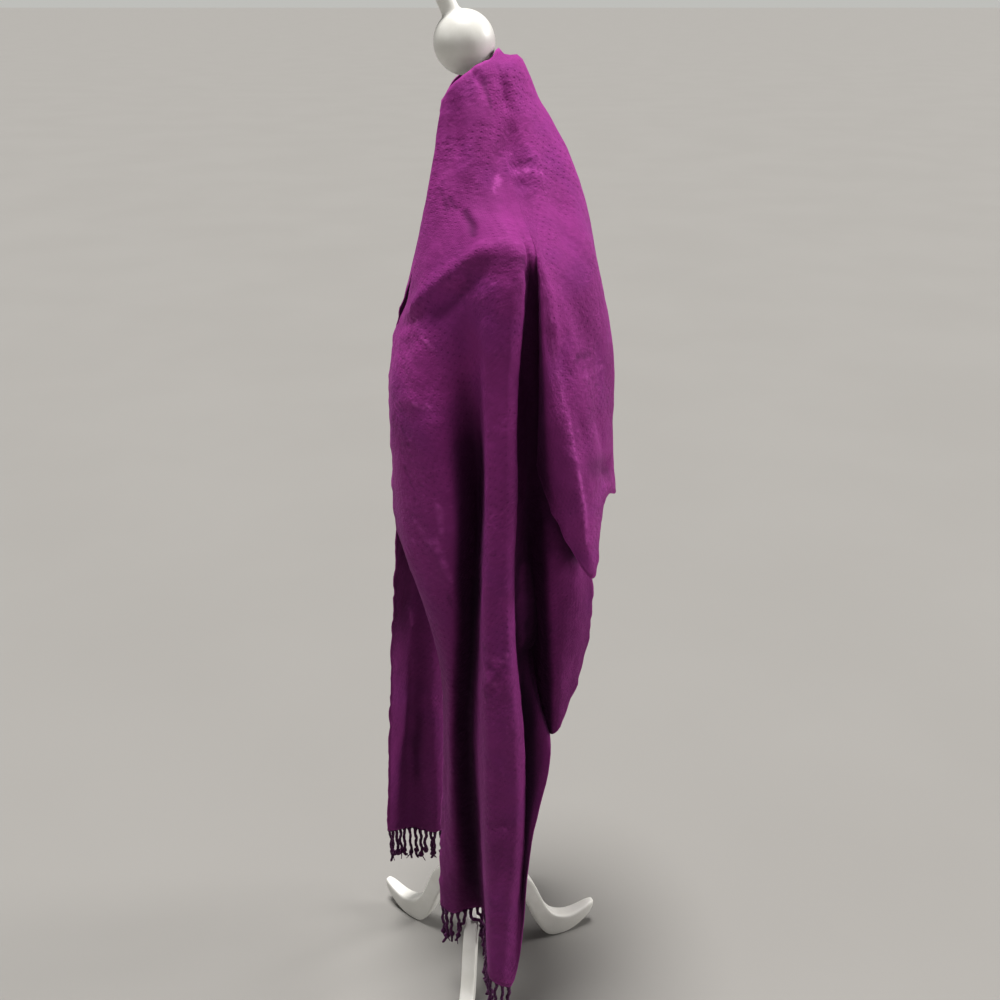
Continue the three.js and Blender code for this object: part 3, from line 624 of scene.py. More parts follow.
def scarf_sheet():
    """One sheet: columns run from the near inner edge round the back to the far inner edge."""
    near, back, far = ribs_of_cloth()
    upper = SHOULDER_ROWS
    join_at_collar(near, back[0])
    join_at_collar(far[::-1], back[-1])
    near_steps = [STEPS_PER_FOLD] * (len(near) - 1)
    far_steps = [STEPS_PER_FOLD] * (len(far) - 1)
    back_steps = [STEPS_UNDER_FLAP] + [STEPS_PER_FOLD] * (len(back) - 1) + [STEPS_UNDER_FLAP]
    ring = through(
        np.concatenate([near[:, :upper], back, far[:, :upper]]),
        near_steps + back_steps + far_steps,
    )
    near_low = hanging_rows(near, back[0, -1], near_steps, False)
    far_low = hanging_rows(far, back[-1, -1], far_steps, True)
    columns, rows = len(ring), upper + HANGING_ROWS
    grid = np.full((columns, rows, 3), np.nan)
    grid[:, :upper] = ring
    grid[: len(near_low), upper:] = near_low
    grid[columns - len(far_low):, upper:] = far_low
    here = ~np.isnan(grid[..., 0])
    grid[here] = clear_of_form(grid[here], ROOM_OVER_FORM)
    first_back = sum(near_steps)
    last_back = columns - 1 - sum(far_steps)
    return grid, here, first_back, last_back


def running_length(grid, axis):
    """Distance along the grid's columns or rows, counted on from each break."""
    gaps = np.nan_to_num(np.linalg.norm(np.diff(grid, axis=axis), axis=2))
    pad = [(0, 0), (0, 0)]
    pad[axis] = (1, 0)
    return np.cumsum(np.pad(gaps, pad), axis=axis)


def weave_places(grid, first_back, last_back):
    """Where each point lies in the weave: across and down the cloth, in millimetres."""
    across, down = running_length(grid, 0), running_length(grid, 1)
    rows = np.arange(grid.shape[1])
    u = across - across[(first_back + last_back) // 2]
    kernel = np.hanning(WEAVE_EVENED) / np.hanning(WEAVE_EVENED).sum()
    ends = WEAVE_EVENED // 2
    # Each front's weave is counted from a crest near its middle.
    for low, high in ((0, first_back), (last_back, grid.shape[0] - 1)):
        crest = low + CREST_FOLD * STEPS_PER_FOLD
        start = u[crest, :SHOULDER_ROWS]
        steady = np.pad(start, (0, len(rows) - len(start)), mode="edge")
        held = np.where(rows < CHEST_ROW, steady, start[CHEST_ROW])
        held = np.convolve(np.pad(held, ends, mode="edge"), kernel, mode="valid")
        u[low: high + 1] = across[low: high + 1] - across[crest] + held
    for a in (first_back, last_back - STEPS_UNDER_FLAP):
        b = a + STEPS_UNDER_FLAP
        for c in range(a + 1, b):
            t = (c - a) / (b - a)
            u[c] = u[a] * (1 - t) + u[b] * t
    return u, down


def edge_distances(grid, here, first_back, last_back):
    """Distance from each point to the nearest free edge of the cloth."""
    across, down = running_length(grid, 0), running_length(grid, 1)
    upper = SHOULDER_ROWS
    last = np.where(here, np.arange(grid.shape[1])[None, :], 0).max(axis=1)
    down_end = down[np.arange(grid.shape[0]), last][:, None]
    nearest = np.minimum(down, down_end - down)
    nearest = np.minimum(nearest, np.minimum(across - across[0], across[-1] - across))
    low = np.arange(grid.shape[1]) >= upper
    near_gap = np.abs(across[first_back] - across)
    far_gap = np.abs(across - across[last_back])
    nearest[: first_back + 1, low] = np.minimum(nearest, near_gap)[: first_back + 1, low]
    nearest[last_back:, low] = np.minimum(nearest, far_gap)[last_back:, low]
    return nearest


def move_vertices(piece, points):
    """Puts the mesh's points at these places about the pole."""
    piece.data.vertices.foreach_set("co", (points * MM + np.array(POLE)).ravel())
    piece.data.update()


def fold_depths(points, normals, faces, reach):
    """How closed in each point is by the folds about it, for the painted shade in the folds: 0 in
    the open, 1 deep in a fold.
    """
    tree = BVHTree.FromPolygons([tuple(p) for p in points], faces)
    turns = np.arange(FOLD_RAYS) * GOLDEN_ANGLE
    rise = 1 - (np.arange(FOLD_RAYS) + 0.5) / FOLD_RAYS * FAN_OPENING
    level = np.sqrt(1 - rise**2)
    fan = np.stack([level * np.cos(turns), level * np.sin(turns), rise], axis=1)
    weight = rise / rise.sum()
    closed = np.zeros(len(points))
    for i, (point, normal) in enumerate(zip(points, normals)):
        out = Vector(normal)
        across = out.orthogonal().normalized()
        beside = out.cross(across)
        start = Vector(point) + out * CLOTH_THICKNESS
        for (x, y, z), share in zip(fan, weight):
            way = across * x + beside * y + out * z
            hit = tree.ray_cast(start, way, reach)
            if hit[0] is not None:
                closed[i] += share * (1 - FAR_HIT_SHARE * hit[3] / reach)
    return closed


def spread_on_cloth(values, here):
    """Evens out one value for each point with the points beside it."""
    field = np.full(here.shape, np.nan)
    field[here] = values
    for _ in range(EVENING_ROUNDS):
        sides = np.full((5,) + field.shape, np.nan)
        sides[0] = field
        sides[1, 1:], sides[2, :-1] = field[:-1], field[1:]
        sides[3, :, 1:], sides[4, :, :-1] = field[:, :-1], field[:, 1:]
        count = (~np.isnan(sides)).sum(axis=0)
        field = np.where(here, np.nansum(sides, axis=0) / np.maximum(count, 1), np.nan)
    return field[here]


def crease_shifts(points, stretch):
    """How far the creases move each point outwards."""
    shift = np.zeros(len(points))
    for where, rows in CREASES.items():
        held = np.isin(stretch, STRETCHES[where])
        for width, depth, line in rows:
            away, along = distance_to_line(points, line)
            ends = np.clip(np.minimum(along, 1 - along) * CREASE_FADE + CREASE_END, 0, 1)
            shift -= CREASE_STRENGTH * depth * np.exp(-((away / width) ** 2)) * ends * held
    return shift


def uneven_shifts(points, edge):
    """How far slack, rumples, puckers and the rippled edges move each point outwards."""
    waves = [
        height * soft_noise(points, size, seed)
        for seed, (height, size) in enumerate((SLACK, RUMPLE, PUCKER, EDGE_RIPPLE, EDGE_RUFFLE), 1)
    ]
    slack = waves[0] * np.clip(edge / SLACK_EDGE, SLACK_LEAST, 1)
    ripple = waves[3] + EDGE_RIPPLE[0] * waves[4]
    return slack + waves[1] + waves[2] + np.exp(-edge / RIPPLE_REACH) * ripple


def crease_light_lines(points, flat, stretch):
    """How much painted highlight (above 0) or painted shade (below 0) the pressed lines give each
    point, measured in the weave.
    """
    worn = np.zeros(len(points))
    for where, rows in PAINTED_CREASE_LIGHTS.items():
        part = np.where(np.isin(stretch, STRETCHES[where]))[0]
        for (amount, width), line in rows:
            spots = [flat[part[np.argmin(((points[part] - p) ** 2).sum(axis=1))]] for p in line]
            away, _ = distance_to_line(flat[part] / MM, np.array(spots) / MM)
            press = amount * np.exp(-((away / width) ** 2))
            worn[part] = np.where(np.abs(press) > np.abs(worn[part]), press, worn[part])
    return worn


def make_scarf():
    """The scarf as one creased sheet with a real thickness. Also returns the sheet's grid."""
    grid, here, first_back, last_back = scarf_sheet()
    u, v = weave_places(grid, first_back, last_back)
    edge = edge_distances(grid, here, first_back, last_back)[here]
    number = np.full(here.shape, -1)
    number[here] = np.arange(here.sum())
    corners = [number[:-1, :-1], number[:-1, 1:], number[1:, 1:], number[1:, :-1]]
    corners = np.stack(corners, axis=2)
    faces = [tuple(face) for face in corners[corners.min(axis=2) >= 0].tolist()]
    points = grid[here]
    scarf = mesh_object("pashmina_scarf", points, faces)
    stretch = np.zeros(here.shape, int)
    stretch[first_back + 1: last_back] = 1
    stretch[last_back:] = 2
    stretch = stretch[here]

    out = read(scarf.data.vertex_normals, "vector", wide=3)
    shift = crease_shifts(points, stretch) + uneven_shifts(points, edge)
    points = clear_of_form(points + out * shift[:, None], LEAST_ROOM)
    move_vertices(scarf, points)

    flat = np.stack([u[here], v[here]], axis=1) * MM
    # Painted highlights and painted shade along the pressed lines, kept for the finish.
    worn = crease_light_lines(points, flat, stretch)
    keep_as_map(scarf, "weave", at_corners(scarf, flat))
    out = read(scarf.data.vertex_normals, "vector", wide=3)
    # How closed in its folds each side of the cloth is, which sets the painted shade in the folds.
    outside = spread_on_cloth(fold_depths(points, out, faces, FOLD_REACH), here)
    inside = spread_on_cloth(fold_depths(points, -out, faces, INSIDE_REACH), here)
    keep_on_points(scarf, "worn", worn)
    keep_on_points(scarf, "border", np.clip(edge, 0, WIDEST_BORDER) * MM)

    wall = scarf.modifiers.new("wall", "SOLIDIFY")
    wall.thickness = CLOTH_THICKNESS * MM
    wall.offset = 0
    wall.use_even_offset = False
    finish_modifiers(scarf)
    scarf.data.shade_smooth()

    # Each side of the wall gets its own painted shade in the folds.
    first_side = read(scarf.data.vertices, "co", wide=3)[: len(points)] / MM - np.array(POLE) / MM
    outer_first = ((first_side - points) * out).sum(axis=1).mean() > 0
    sides = [outside, inside] if outer_first else [inside, outside]
    keep_on_points(scarf, "fold", np.concatenate(sides))
    return scarf, grid


def leg_under(x, y):
    """The top of a leg under a place, its direction and how far aside of it the place is."""
    for angle in LEG_ANGLES:
        a = math.radians(angle)
        along = x * math.cos(a) + y * math.sin(a)
        aside = y * math.cos(a) - x * math.sin(a)
        if not LEG_SECTIONS[0][0] < along < LEG_SECTIONS[-1][0]:
            continue
        places, _, tops, halves = np.array(LEG_SECTIONS).T
        if abs(aside) < np.interp(along, places, halves) + LEG_SPACE:
            return float(np.interp(along, places, tops)), a, aside
    return None


def strand_path(start, chance):
    """A strand's line from the hem: it waves, parts over a leg, and curls at its tip."""
    length = STRAND_LENGTH * chance.uniform(*LENGTH_VARIES)
    count = int(length / STRAND_STEP)
    wave, turn = chance.uniform(*WAVE_DEPTH), chance.uniform(*WAVE_START)
    period = chance.uniform(*WAVE_LENGTH)
    lean = Vector((chance.uniform(*LEAN), chance.uniform(*LEAN), 0))
    curl_way = Vector((chance.uniform(-1, 1), chance.uniform(-1, 1), 0)).normalized()
    curl_start = chance.uniform(*CURL_START)
    curl_most = chance.uniform(*CURL_MOST)
    path = [Vector(start)]
    side = None
    for i in range(count):
        s = i * STRAND_STEP
        swing = TURN * s / period + turn
        rise = min(1, s / STRAIGHT_START)
        way = Vector((math.cos(swing) * wave * rise, math.sin(swing) * wave * rise, -1)) + lean
        if i / count > curl_start:
            bend = (i / count - curl_start) / (1 - curl_start) * curl_most
            way = Vector((0, 0, -math.cos(bend))) + curl_way * math.sin(bend)
        step = way.normalized() * STRAND_STEP
        ahead = path[-1] + step
        under = leg_under(ahead.x, ahead.y)
        if under and ahead.z < under[0] + LEG_SPACE:
            top, a, aside = under
            if side is None:
                side = 1 if aside >= 0 else -1
            step = Vector((-math.sin(a), math.cos(a), 0)) * side * STRAND_STEP
            step.z = max(0.0, min(CLIMB, top + LEG_SPACE - path[-1].z))
            ahead = path[-1] + step
        ahead.z = max(ahead.z, FLOOR_SPACE)
        path.append(ahead)
    for _ in range(2):
        for i in range(2, len(path) - 1):
            path[i] = (path[i - 1] + path[i] * 2 + path[i + 1]) / 4
    return path


def tube(path, sizes, side_way, twist, points, faces, places):
    """Adds a twisted two-ply tube. sizes are (half width, half depth, twist) at each point."""
    base = len(points)
    across = Vector(side_way)
    run = 0.0
    for i, p in enumerate(path):
        ahead = (path[min(i + 1, len(path) - 1)] - path[max(i - 1, 0)]).normalized()
        across = (across - ahead * across.dot(ahead)).normalized()
        deep = ahead.cross(across)
        if i:
            run += (p - path[i - 1]).length
        wide_size, deep_size, plied = sizes[i]
        for k in range(STRAND_SIDES):
            a = TURN * k / STRAND_SIDES
            ply = PLY_VALLEY + PLY_HEIGHT * abs(math.cos(a - twist * run)) ** PLY_ROUND
            ply = 1 + (ply - 1) * plied
            offset = across * math.cos(a) * wide_size * ply + deep * math.sin(a) * deep_size * ply
            points.append(tuple(p + offset))
            places.append((k / STRAND_SIDES, run * MM))

    def ring(i):
        """The pairs of neighbours in one ring of points."""
        first = base + i * STRAND_SIDES
        return [(first + k, first + (k + 1) % STRAND_SIDES) for k in range(STRAND_SIDES)]

    last = len(path) - 1
    for i in range(last):
        faces += [(a, b, b + STRAND_SIDES, a + STRAND_SIDES) for a, b in ring(i)]
    for end, at in ((0, 0), (last, run * MM)):
        centre = len(points)
        points.append(tuple(path[end]))
        places.append((0.5, at))
        faces += [(centre, a, b) if end else (centre, b, a) for a, b in ring(end)]


def strand_sizes(total, knot, thick):
    """Half sizes along a strand: flat where it leaves the cloth, and swollen at its knot."""
    sizes = []
    for j in range(total + 1):
        gather = max(0.0, 1 - j * STRAND_STEP / GATHER_LENGTH)
        bulge = math.exp(-((j - knot) * STRAND_STEP / KNOT_LENGTH) ** 2)
        size = thick * (1 + KNOT_SWELL * bulge)
        if j > knot:
            size *= 1.1 - TIP_THINNING * min(1, (j - knot) / max(1, total - knot)) ** 0.7
        wide, deep, plain = (share * gather for share in GATHERED)
        sizes.append((size * (1 + wide), size * (1 - deep), 1 - plain))
    sizes[-1] = (sizes[-1][0] * TIP_END, sizes[-1][1] * TIP_END, 1)
    return sizes


def tuft_path(start, chance):
    """The loose threads that stand out below a knot."""
    path = [start.copy()]
    way = Vector((chance.uniform(-1, 1), chance.uniform(-1, 1), -TUFT_FALL)).normalized()
    bend = Vector((chance.uniform(-1, 1), chance.uniform(-1, 1), 0)) * TUFT_BEND
    for _ in range(TUFT_STEPS):
        way = (way + bend).normalized()
        ahead = path[-1] + way * TUFT_STEP
        ahead.z = max(ahead.z, TUFT_FLOOR_SPACE)
        under = leg_under(ahead.x, ahead.y)
        if under and ahead.z < under[0] + LEG_SPACE - 1:
            break
        path.append(ahead)
    return path


def make_fringe(name, hem, seed):
    """Knotted strands along a hem, each gathered from the last threads of the cloth."""
    chance = random.Random(seed)
    gaps = np.linalg.norm(np.diff(hem, axis=0), axis=1)
    count = int(round(gaps.sum() / STRAND_SPACING))
    line = evenly(hem, PLACES_PER_STRAND * count + 1)
    points, faces, places = [], [], []
    for i in range(count):
        at = PLACES_PER_STRAND // 2 + PLACES_PER_STRAND * i + chance.randint(*PLACE_VARIES)
        at = min(max(at, 4), len(line) - 5)
        along = Vector(line[at + 3] - line[at - 3])
        along.z = 0
        along = along.normalized() if along.length > 1e-6 else Vector((1, 0, 0))
        path = strand_path(Vector(line[at]) + Vector((0, 0, HEM_OVERLAP)), chance)
        total = len(path) - 1
        knot = int(total * KNOT_AT * chance.uniform(*KNOT_VARIES))
        thick = STRAND_RADIUS * chance.uniform(*RADIUS_VARIES)
        pitch = TURN / chance.uniform(*TWIST_LENGTH)
        tube(path, strand_sizes(total, knot, thick), along, pitch, points, faces, places)
        if knot < total - 2:
            tuft = tuft_path(path[knot], chance)
            if len(tuft) > 2:
                thin = [TUFT_RADIUS * (1 - TUFT_TAPER * j) for j in range(len(tuft))]
                sizes = [(size, size, TUFT_PLY) for size in thin]
                tube(tuft, sizes, along, pitch * TUFT_TWIST, points, faces, places)
    fringe = mesh_object(name, points, faces)
    corner = at_corners(fringe, np.array(places))
    starts = read(fringe.data.polygons, "loop_start", np.int32)
    totals = read(fringe.data.polygons, "loop_total", np.int32)
    for begin, many in zip(starts, totals):
        part = corner[begin: begin + many]
        if part[:, 0].max() - part[:, 0].min() > 0.5:
            part[part[:, 0] < 0.4, 0] += 1
    keep_as_map(fringe, "twist", corner)
    return fringe


def start_editing():
    """Opens the active object's mesh, with all of it selected."""
    bpy.ops.object.mode_set(mode="EDIT")
    bpy.ops.mesh.select_all(action="SELECT")


def stop_editing():
    """Turns the faces outwards and leaves the mesh."""
    bpy.ops.mesh.select_all(action="SELECT")
    bpy.ops.mesh.normals_make_consistent(inside=False)
    bpy.ops.object.mode_set(mode="OBJECT")


def draw_on(centre, size, new_centre, new_size):
    """Draws the selected face on to a new place, and brings it to its new size there."""
    bpy.ops.mesh.extrude_region_move(TRANSFORM_OT_translate={"value": new_centre - centre})
    growth = tuple(new / now for new, now in zip(new_size, size))
    bpy.ops.transform.resize(value=growth, center_override=new_centre)


def start_at_profile(first):
    """A single point in edit mode, to be drawn out into a profile."""
    bpy.ops.object.select_all(action="DESELECT")
    bpy.ops.mesh.primitive_plane_add(size=0.004, location=(0, 0, 0))
    start_editing()
    bpy.ops.mesh.merge(type="CENTER")
    bpy.ops.transform.translate(value=first)
    return bpy.context.object


def settle_at_origin(piece, name):
    """Puts the object's place and turn into its mesh, and names it."""
    only(piece)
    bpy.ops.object.transform_apply(location=True, rotation=True, scale=True)
    piece.name = name
    piece.data.name = name
    return piece


def arc(centre_height, radius, start, end, parts):
    """Points of a ball's profile between two angles from its lowest point."""
    made = []
    for i in range(parts + 1):
        a = math.radians(start + (end - start) * i / parts)
        made.append((math.sin(a) * radius, centre_height - math.cos(a) * radius))
    return made


# Turned pieces: the finial ball's radius, then each piece's profile as (radius, height), its
# centre and its lean.
BALL = 29.3
TURNED = {
    "painted_neck_cap": (
        [(0, -2.4), (27.6, -2.4), (29.0, -1.9), (29.8, -0.9), (29.9, 0.6), (29.3, 1.6),
         (27.8, 2.2), (20, 2.4), (0, 2.4)],
        (9.5, 0, 1154), NECK_TILT),
    "painted_finial": (
        [(0, -BALL - 3.6), (7.2, -BALL - 3.6), (8.6, -BALL - 2.8), (9.0, -BALL - 1.2),
         *arc(0, BALL, 18.5, 158, 30), (9.6, 28.4), (8.8, 30.5), (8.6, 34), (8.7, 50),
         (8.8, 72.5), (8.3, 74.2), (7.2, 75.0), (0, 75.2)],
        (-5, 0, 1187), NECK_TILT),
    "painted_plate": (
        [(0, 548.8), (35.6, 548.8), (37.2, 549.5), (37.9, 551), (37.9, 556.4), (37.2, 558),
         (35.6, 558.6), (0, 558.6)],
        (0, 0, 0), 0.0),
    "painted_hub": (
        [(0, 92.1), (15.6, 92.1), (17.4, 92.9), (18.2, 94.6), (18.5, 98), (18.9, 101),
         (18.9, 139), (18.5, 142), (17.6, 143), (17.6, 144.6), (18.4, 145.6), (18.4, 148),
         (17.4, 149.4), (15.8, 149.9), (0, 149.9)],
        (0, 0, 0), 0.0),
    "painted_pole_tube": (
        [(0, 150.4), (10.2, 150.4), (10.9, 151.2), (10.95, 153), (10.95, 350), (10.95, 546),
         (10.9, 547.4), (10.2, 548.3), (0, 548.3)],
        (0, 0, 0), 0.0),
}


def turned(name):
    """A turned piece: its profile drawn out, spun about its axis and leant."""
    profile, centre, lean = TURNED[name]
    profile = [(r * MM, h * MM) for r, h in profile]
    piece = start_at_profile((profile[0][0], 0, profile[0][1]))
    for (r0, h0), (r1, h1) in zip(profile, profile[1:]):
        bpy.ops.mesh.extrude_region_move(
            TRANSFORM_OT_translate={"value": (r1 - r0, 0, h1 - h0)},
        )
    bpy.ops.mesh.select_all(action="SELECT")
    bpy.ops.mesh.spin(steps=TURNED_STEPS, angle=TURN, center=(0, 0, 0), axis=(0, 0, 1))
    bpy.ops.mesh.select_all(action="SELECT")
    bpy.ops.mesh.remove_doubles(threshold=0.00002)
    bpy.ops.mesh.dissolve_degenerate(threshold=0.000001)
    stop_editing()
    piece.rotation_euler = (0, -lean, 0)
    piece.location = POLE + Vector(centre) * MM
    settle_at_origin(piece, name)
    only(piece)
    bpy.ops.object.shade_smooth_by_angle(angle=SMOOTH_TURNED)
    return piece


def make_form():
    """The limbless form: a disc drawn up through its level sections to the neck."""
    bpy.ops.object.select_all(action="DESELECT")
    bpy.ops.mesh.primitive_circle_add(
        vertices=FORM_SIDES, radius=MM, fill_type="NGON", location=(0, 0, 0),
    )
    form = bpy.context.object
    start_editing()
    bpy.ops.mesh.flip_normals()
    z0, front0, back0, half0, _ = FORM_SECTIONS[0]
    size = ((back0 - front0) / 2 - BASE_INSET, half0 - BASE_INSET, 1)
    centre = Vector(((front0 + back0) / 2, 0, z0 + BASE_RISE)) * MM
    bpy.ops.transform.resize(value=size, center_override=(0, 0, 0))
    bpy.ops.transform.translate(value=centre)
    for z, front, back, half, _ in FORM_SECTIONS[1:]:
        new_size = ((back - front) / 2 - FORM_INSET, half - FORM_INSET, 1)
        new_centre = Vector(((front + back) / 2, 0, z)) * MM
        draw_on(centre, size, new_centre, new_size)
        size, centre = new_size, new_centre
    stop_editing()
    heights, fronts, backs, _, tilts = np.array(FORM_SECTIONS, float).T
    for vertex in form.data.vertices:
        z = vertex.co.z / MM
        tilt = math.radians(float(np.interp(z, heights, tilts)))
        middle = np.interp(z, heights, (fronts + backs) / 2)
        vertex.co.z += (vertex.co.x - middle * MM) * math.tan(tilt)
    smooth = form.modifiers.new("smooth", "SUBSURF")
    smooth.levels = smooth.render_levels = 2
    finish_modifiers(form)
    form.location = POLE
    settle_at_origin(form, "jersey_form")
    form.data.shade_smooth()
    return form


def make_leg():
    """One leg, drawn out from the hub: steep down, then its foot turned out and up."""
    bpy.ops.object.select_all(action="DESELECT")
    bpy.ops.mesh.primitive_plane_add(size=1, location=(0, 0, 0), rotation=(0, math.pi / 2, 0))
    leg = bpy.context.object
    bpy.ops.object.transform_apply(location=True, rotation=True, scale=True)
    start_editing()
    r0, low0, high0, half0 = LEG_SECTIONS[0]
    size = (1, 2 * half0 * MM, (high0 - low0) * MM)
    centre = Vector((r0 + LEG_INSET, 0, (low0 + high0) / 2)) * MM
    bpy.ops.transform.resize(value=size, center_override=(0, 0, 0))
    bpy.ops.transform.translate(value=centre)
    for r, low, high, half in LEG_SECTIONS[1:]:
        new_size = (1, 2 * half * MM, (high - low) * MM)
        new_centre = Vector((r - LEG_INSET, 0, (low + high) / 2)) * MM
        draw_on(centre, size, new_centre, new_size)
        size, centre = new_size, new_centre
    stop_editing()
    edges = leg.modifiers.new("rounded", "BEVEL")
    edges.width = LEG_ROUNDING * MM
    edges.segments = 3
    edges.limit_method = "ANGLE"
    edges.angle_limit = LEG_EDGE
    smooth = leg.modifiers.new("smooth", "SUBSURF")
    smooth.levels = smooth.render_levels = 1
    finish_modifiers(leg)
    return leg


def make_legs():
    """The three legs, each with its own mesh, set round the pole."""
    legs = [make_leg()]
    for i in range(1, len(LEG_ANGLES)):
        legs.append(bpy.data.objects.new(f"leg_{i}", legs[0].data.copy()))
        bpy.context.scene.collection.objects.link(legs[i])
    for i, (leg, angle) in enumerate(zip(legs, LEG_ANGLES)):
        leg.rotation_euler = (0, 0, math.radians(angle))
        leg.location = POLE
        settle_at_origin(leg, f"painted_leg_{i + 1}")
        leg.data.shade_smooth()
    return legs


class Wire:
    """A value in a finish, which Python sums and products work on."""

    def __init__(self, finish, socket):
        self.finish = finish
        self.socket = socket

    def maths(self, operation, *others):
        return self.finish.node("ShaderNodeMath", {"operation": operation}, self, *others)

    def __add__(self, other):
        return self.maths("ADD", other)

    __radd__ = __add__

    def __sub__(self, other):
        return self.maths("SUBTRACT", other)

    def __rsub__(self, other):
        return self.finish.node("ShaderNodeMath", {"operation": "SUBTRACT"}, other, self)

    def __mul__(self, other):
        return self.maths("MULTIPLY", other)

    __rmul__ = __mul__

    def __truediv__(self, other):
        return self.maths("DIVIDE", other)

    def __pow__(self, other):
        return self.maths("POWER", other)

    def wave(self):
        return self.maths("COSINE")

    def size(self):
        return self.maths("ABSOLUTE")

    def between(self, low, high):
        """0 below low, 1 above high, and smooth between them."""
        settings = {"interpolation_type": "SMOOTHSTEP"}
        return self.finish.node("ShaderNodeMapRange", settings, self, low, high, 0.0, 1.0)


class Finish:
    """One material's nodes."""

    def __init__(self, name):
        self.material = bpy.data.materials.new(name)
        self.material.use_nodes = True
        self.tree = self.material.node_tree
        self.tree.nodes.clear()

    def node(self, kind, settings=None, *values, out=0, **named):
        """Makes a node: its settings first, then its sockets by order or by name."""
        made = self.tree.nodes.new(kind)
        for key, value in (settings or {}).items():
            setattr(made, key, value)
        for key, value in [*enumerate(values), *named.items()]:
            if value is None:
                continue
            socket = made.inputs[key if isinstance(key, int) else key.replace("_", " ")]
            if isinstance(value, Wire):
                self.tree.links.new(value.socket, socket)
            elif hasattr(value, "__len__") and len(value) == 3 and socket.type == "RGBA":
                socket.default_value = (*value, 1)
            else:
                socket.default_value = value
        return Wire(self, made.outputs[out])

    def mix(self, amount, first, second):
        """Mixes two colours. The node's sockets for numbers and vectors come before them."""
        unused = [None] * 5
        settings = {"data_type": "RGBA"}
        return self.node("ShaderNodeMix", settings, amount, *unused, first, second, out=2)

    def layers(self, colour, *over):
        """Lays more colours over the first, each as (how much, colour)."""
        for amount, shade in over:
            colour = self.mix(amount, colour, shade)
        return colour

    def place(self):
        return self.node("ShaderNodeTexCoord", out=3)

    def chart(self, name):
        return self.node("ShaderNodeUVMap", {"uv_map": name})

    def kept(self, name):
        return self.node("ShaderNodeAttribute", {"attribute_name": name}, out=2)

    def parts(self, vector):
        made = self.node("ShaderNodeSeparateXYZ", None, vector)
        outputs = made.socket.node.outputs
        return [Wire(self, outputs[i]) for i in range(3)]

    def noise(self, vector, scale, detail=3.0, roughness=0.55):
        return self.node("ShaderNodeTexNoise", None, Vector=vector, Scale=scale,
                         Detail=detail, Roughness=roughness)

    def stretch(self, vector, scale):
        return self.node("ShaderNodeMapping", None, Vector=vector, Scale=scale)

    def bump(self, height, strength, distance, under=None):
        return self.node("ShaderNodeBump", None, Height=height, Strength=strength,
                         Distance=distance, Normal=under)

    def close(self, **sockets):
        """The finished material, with these values on its shader."""
        shader = self.node("ShaderNodeBsdfPrincipled", None, **sockets)
        ending = self.tree.nodes.new("ShaderNodeOutputMaterial")
        self.tree.links.new(shader.socket, ending.inputs["Surface"])
        return self.material


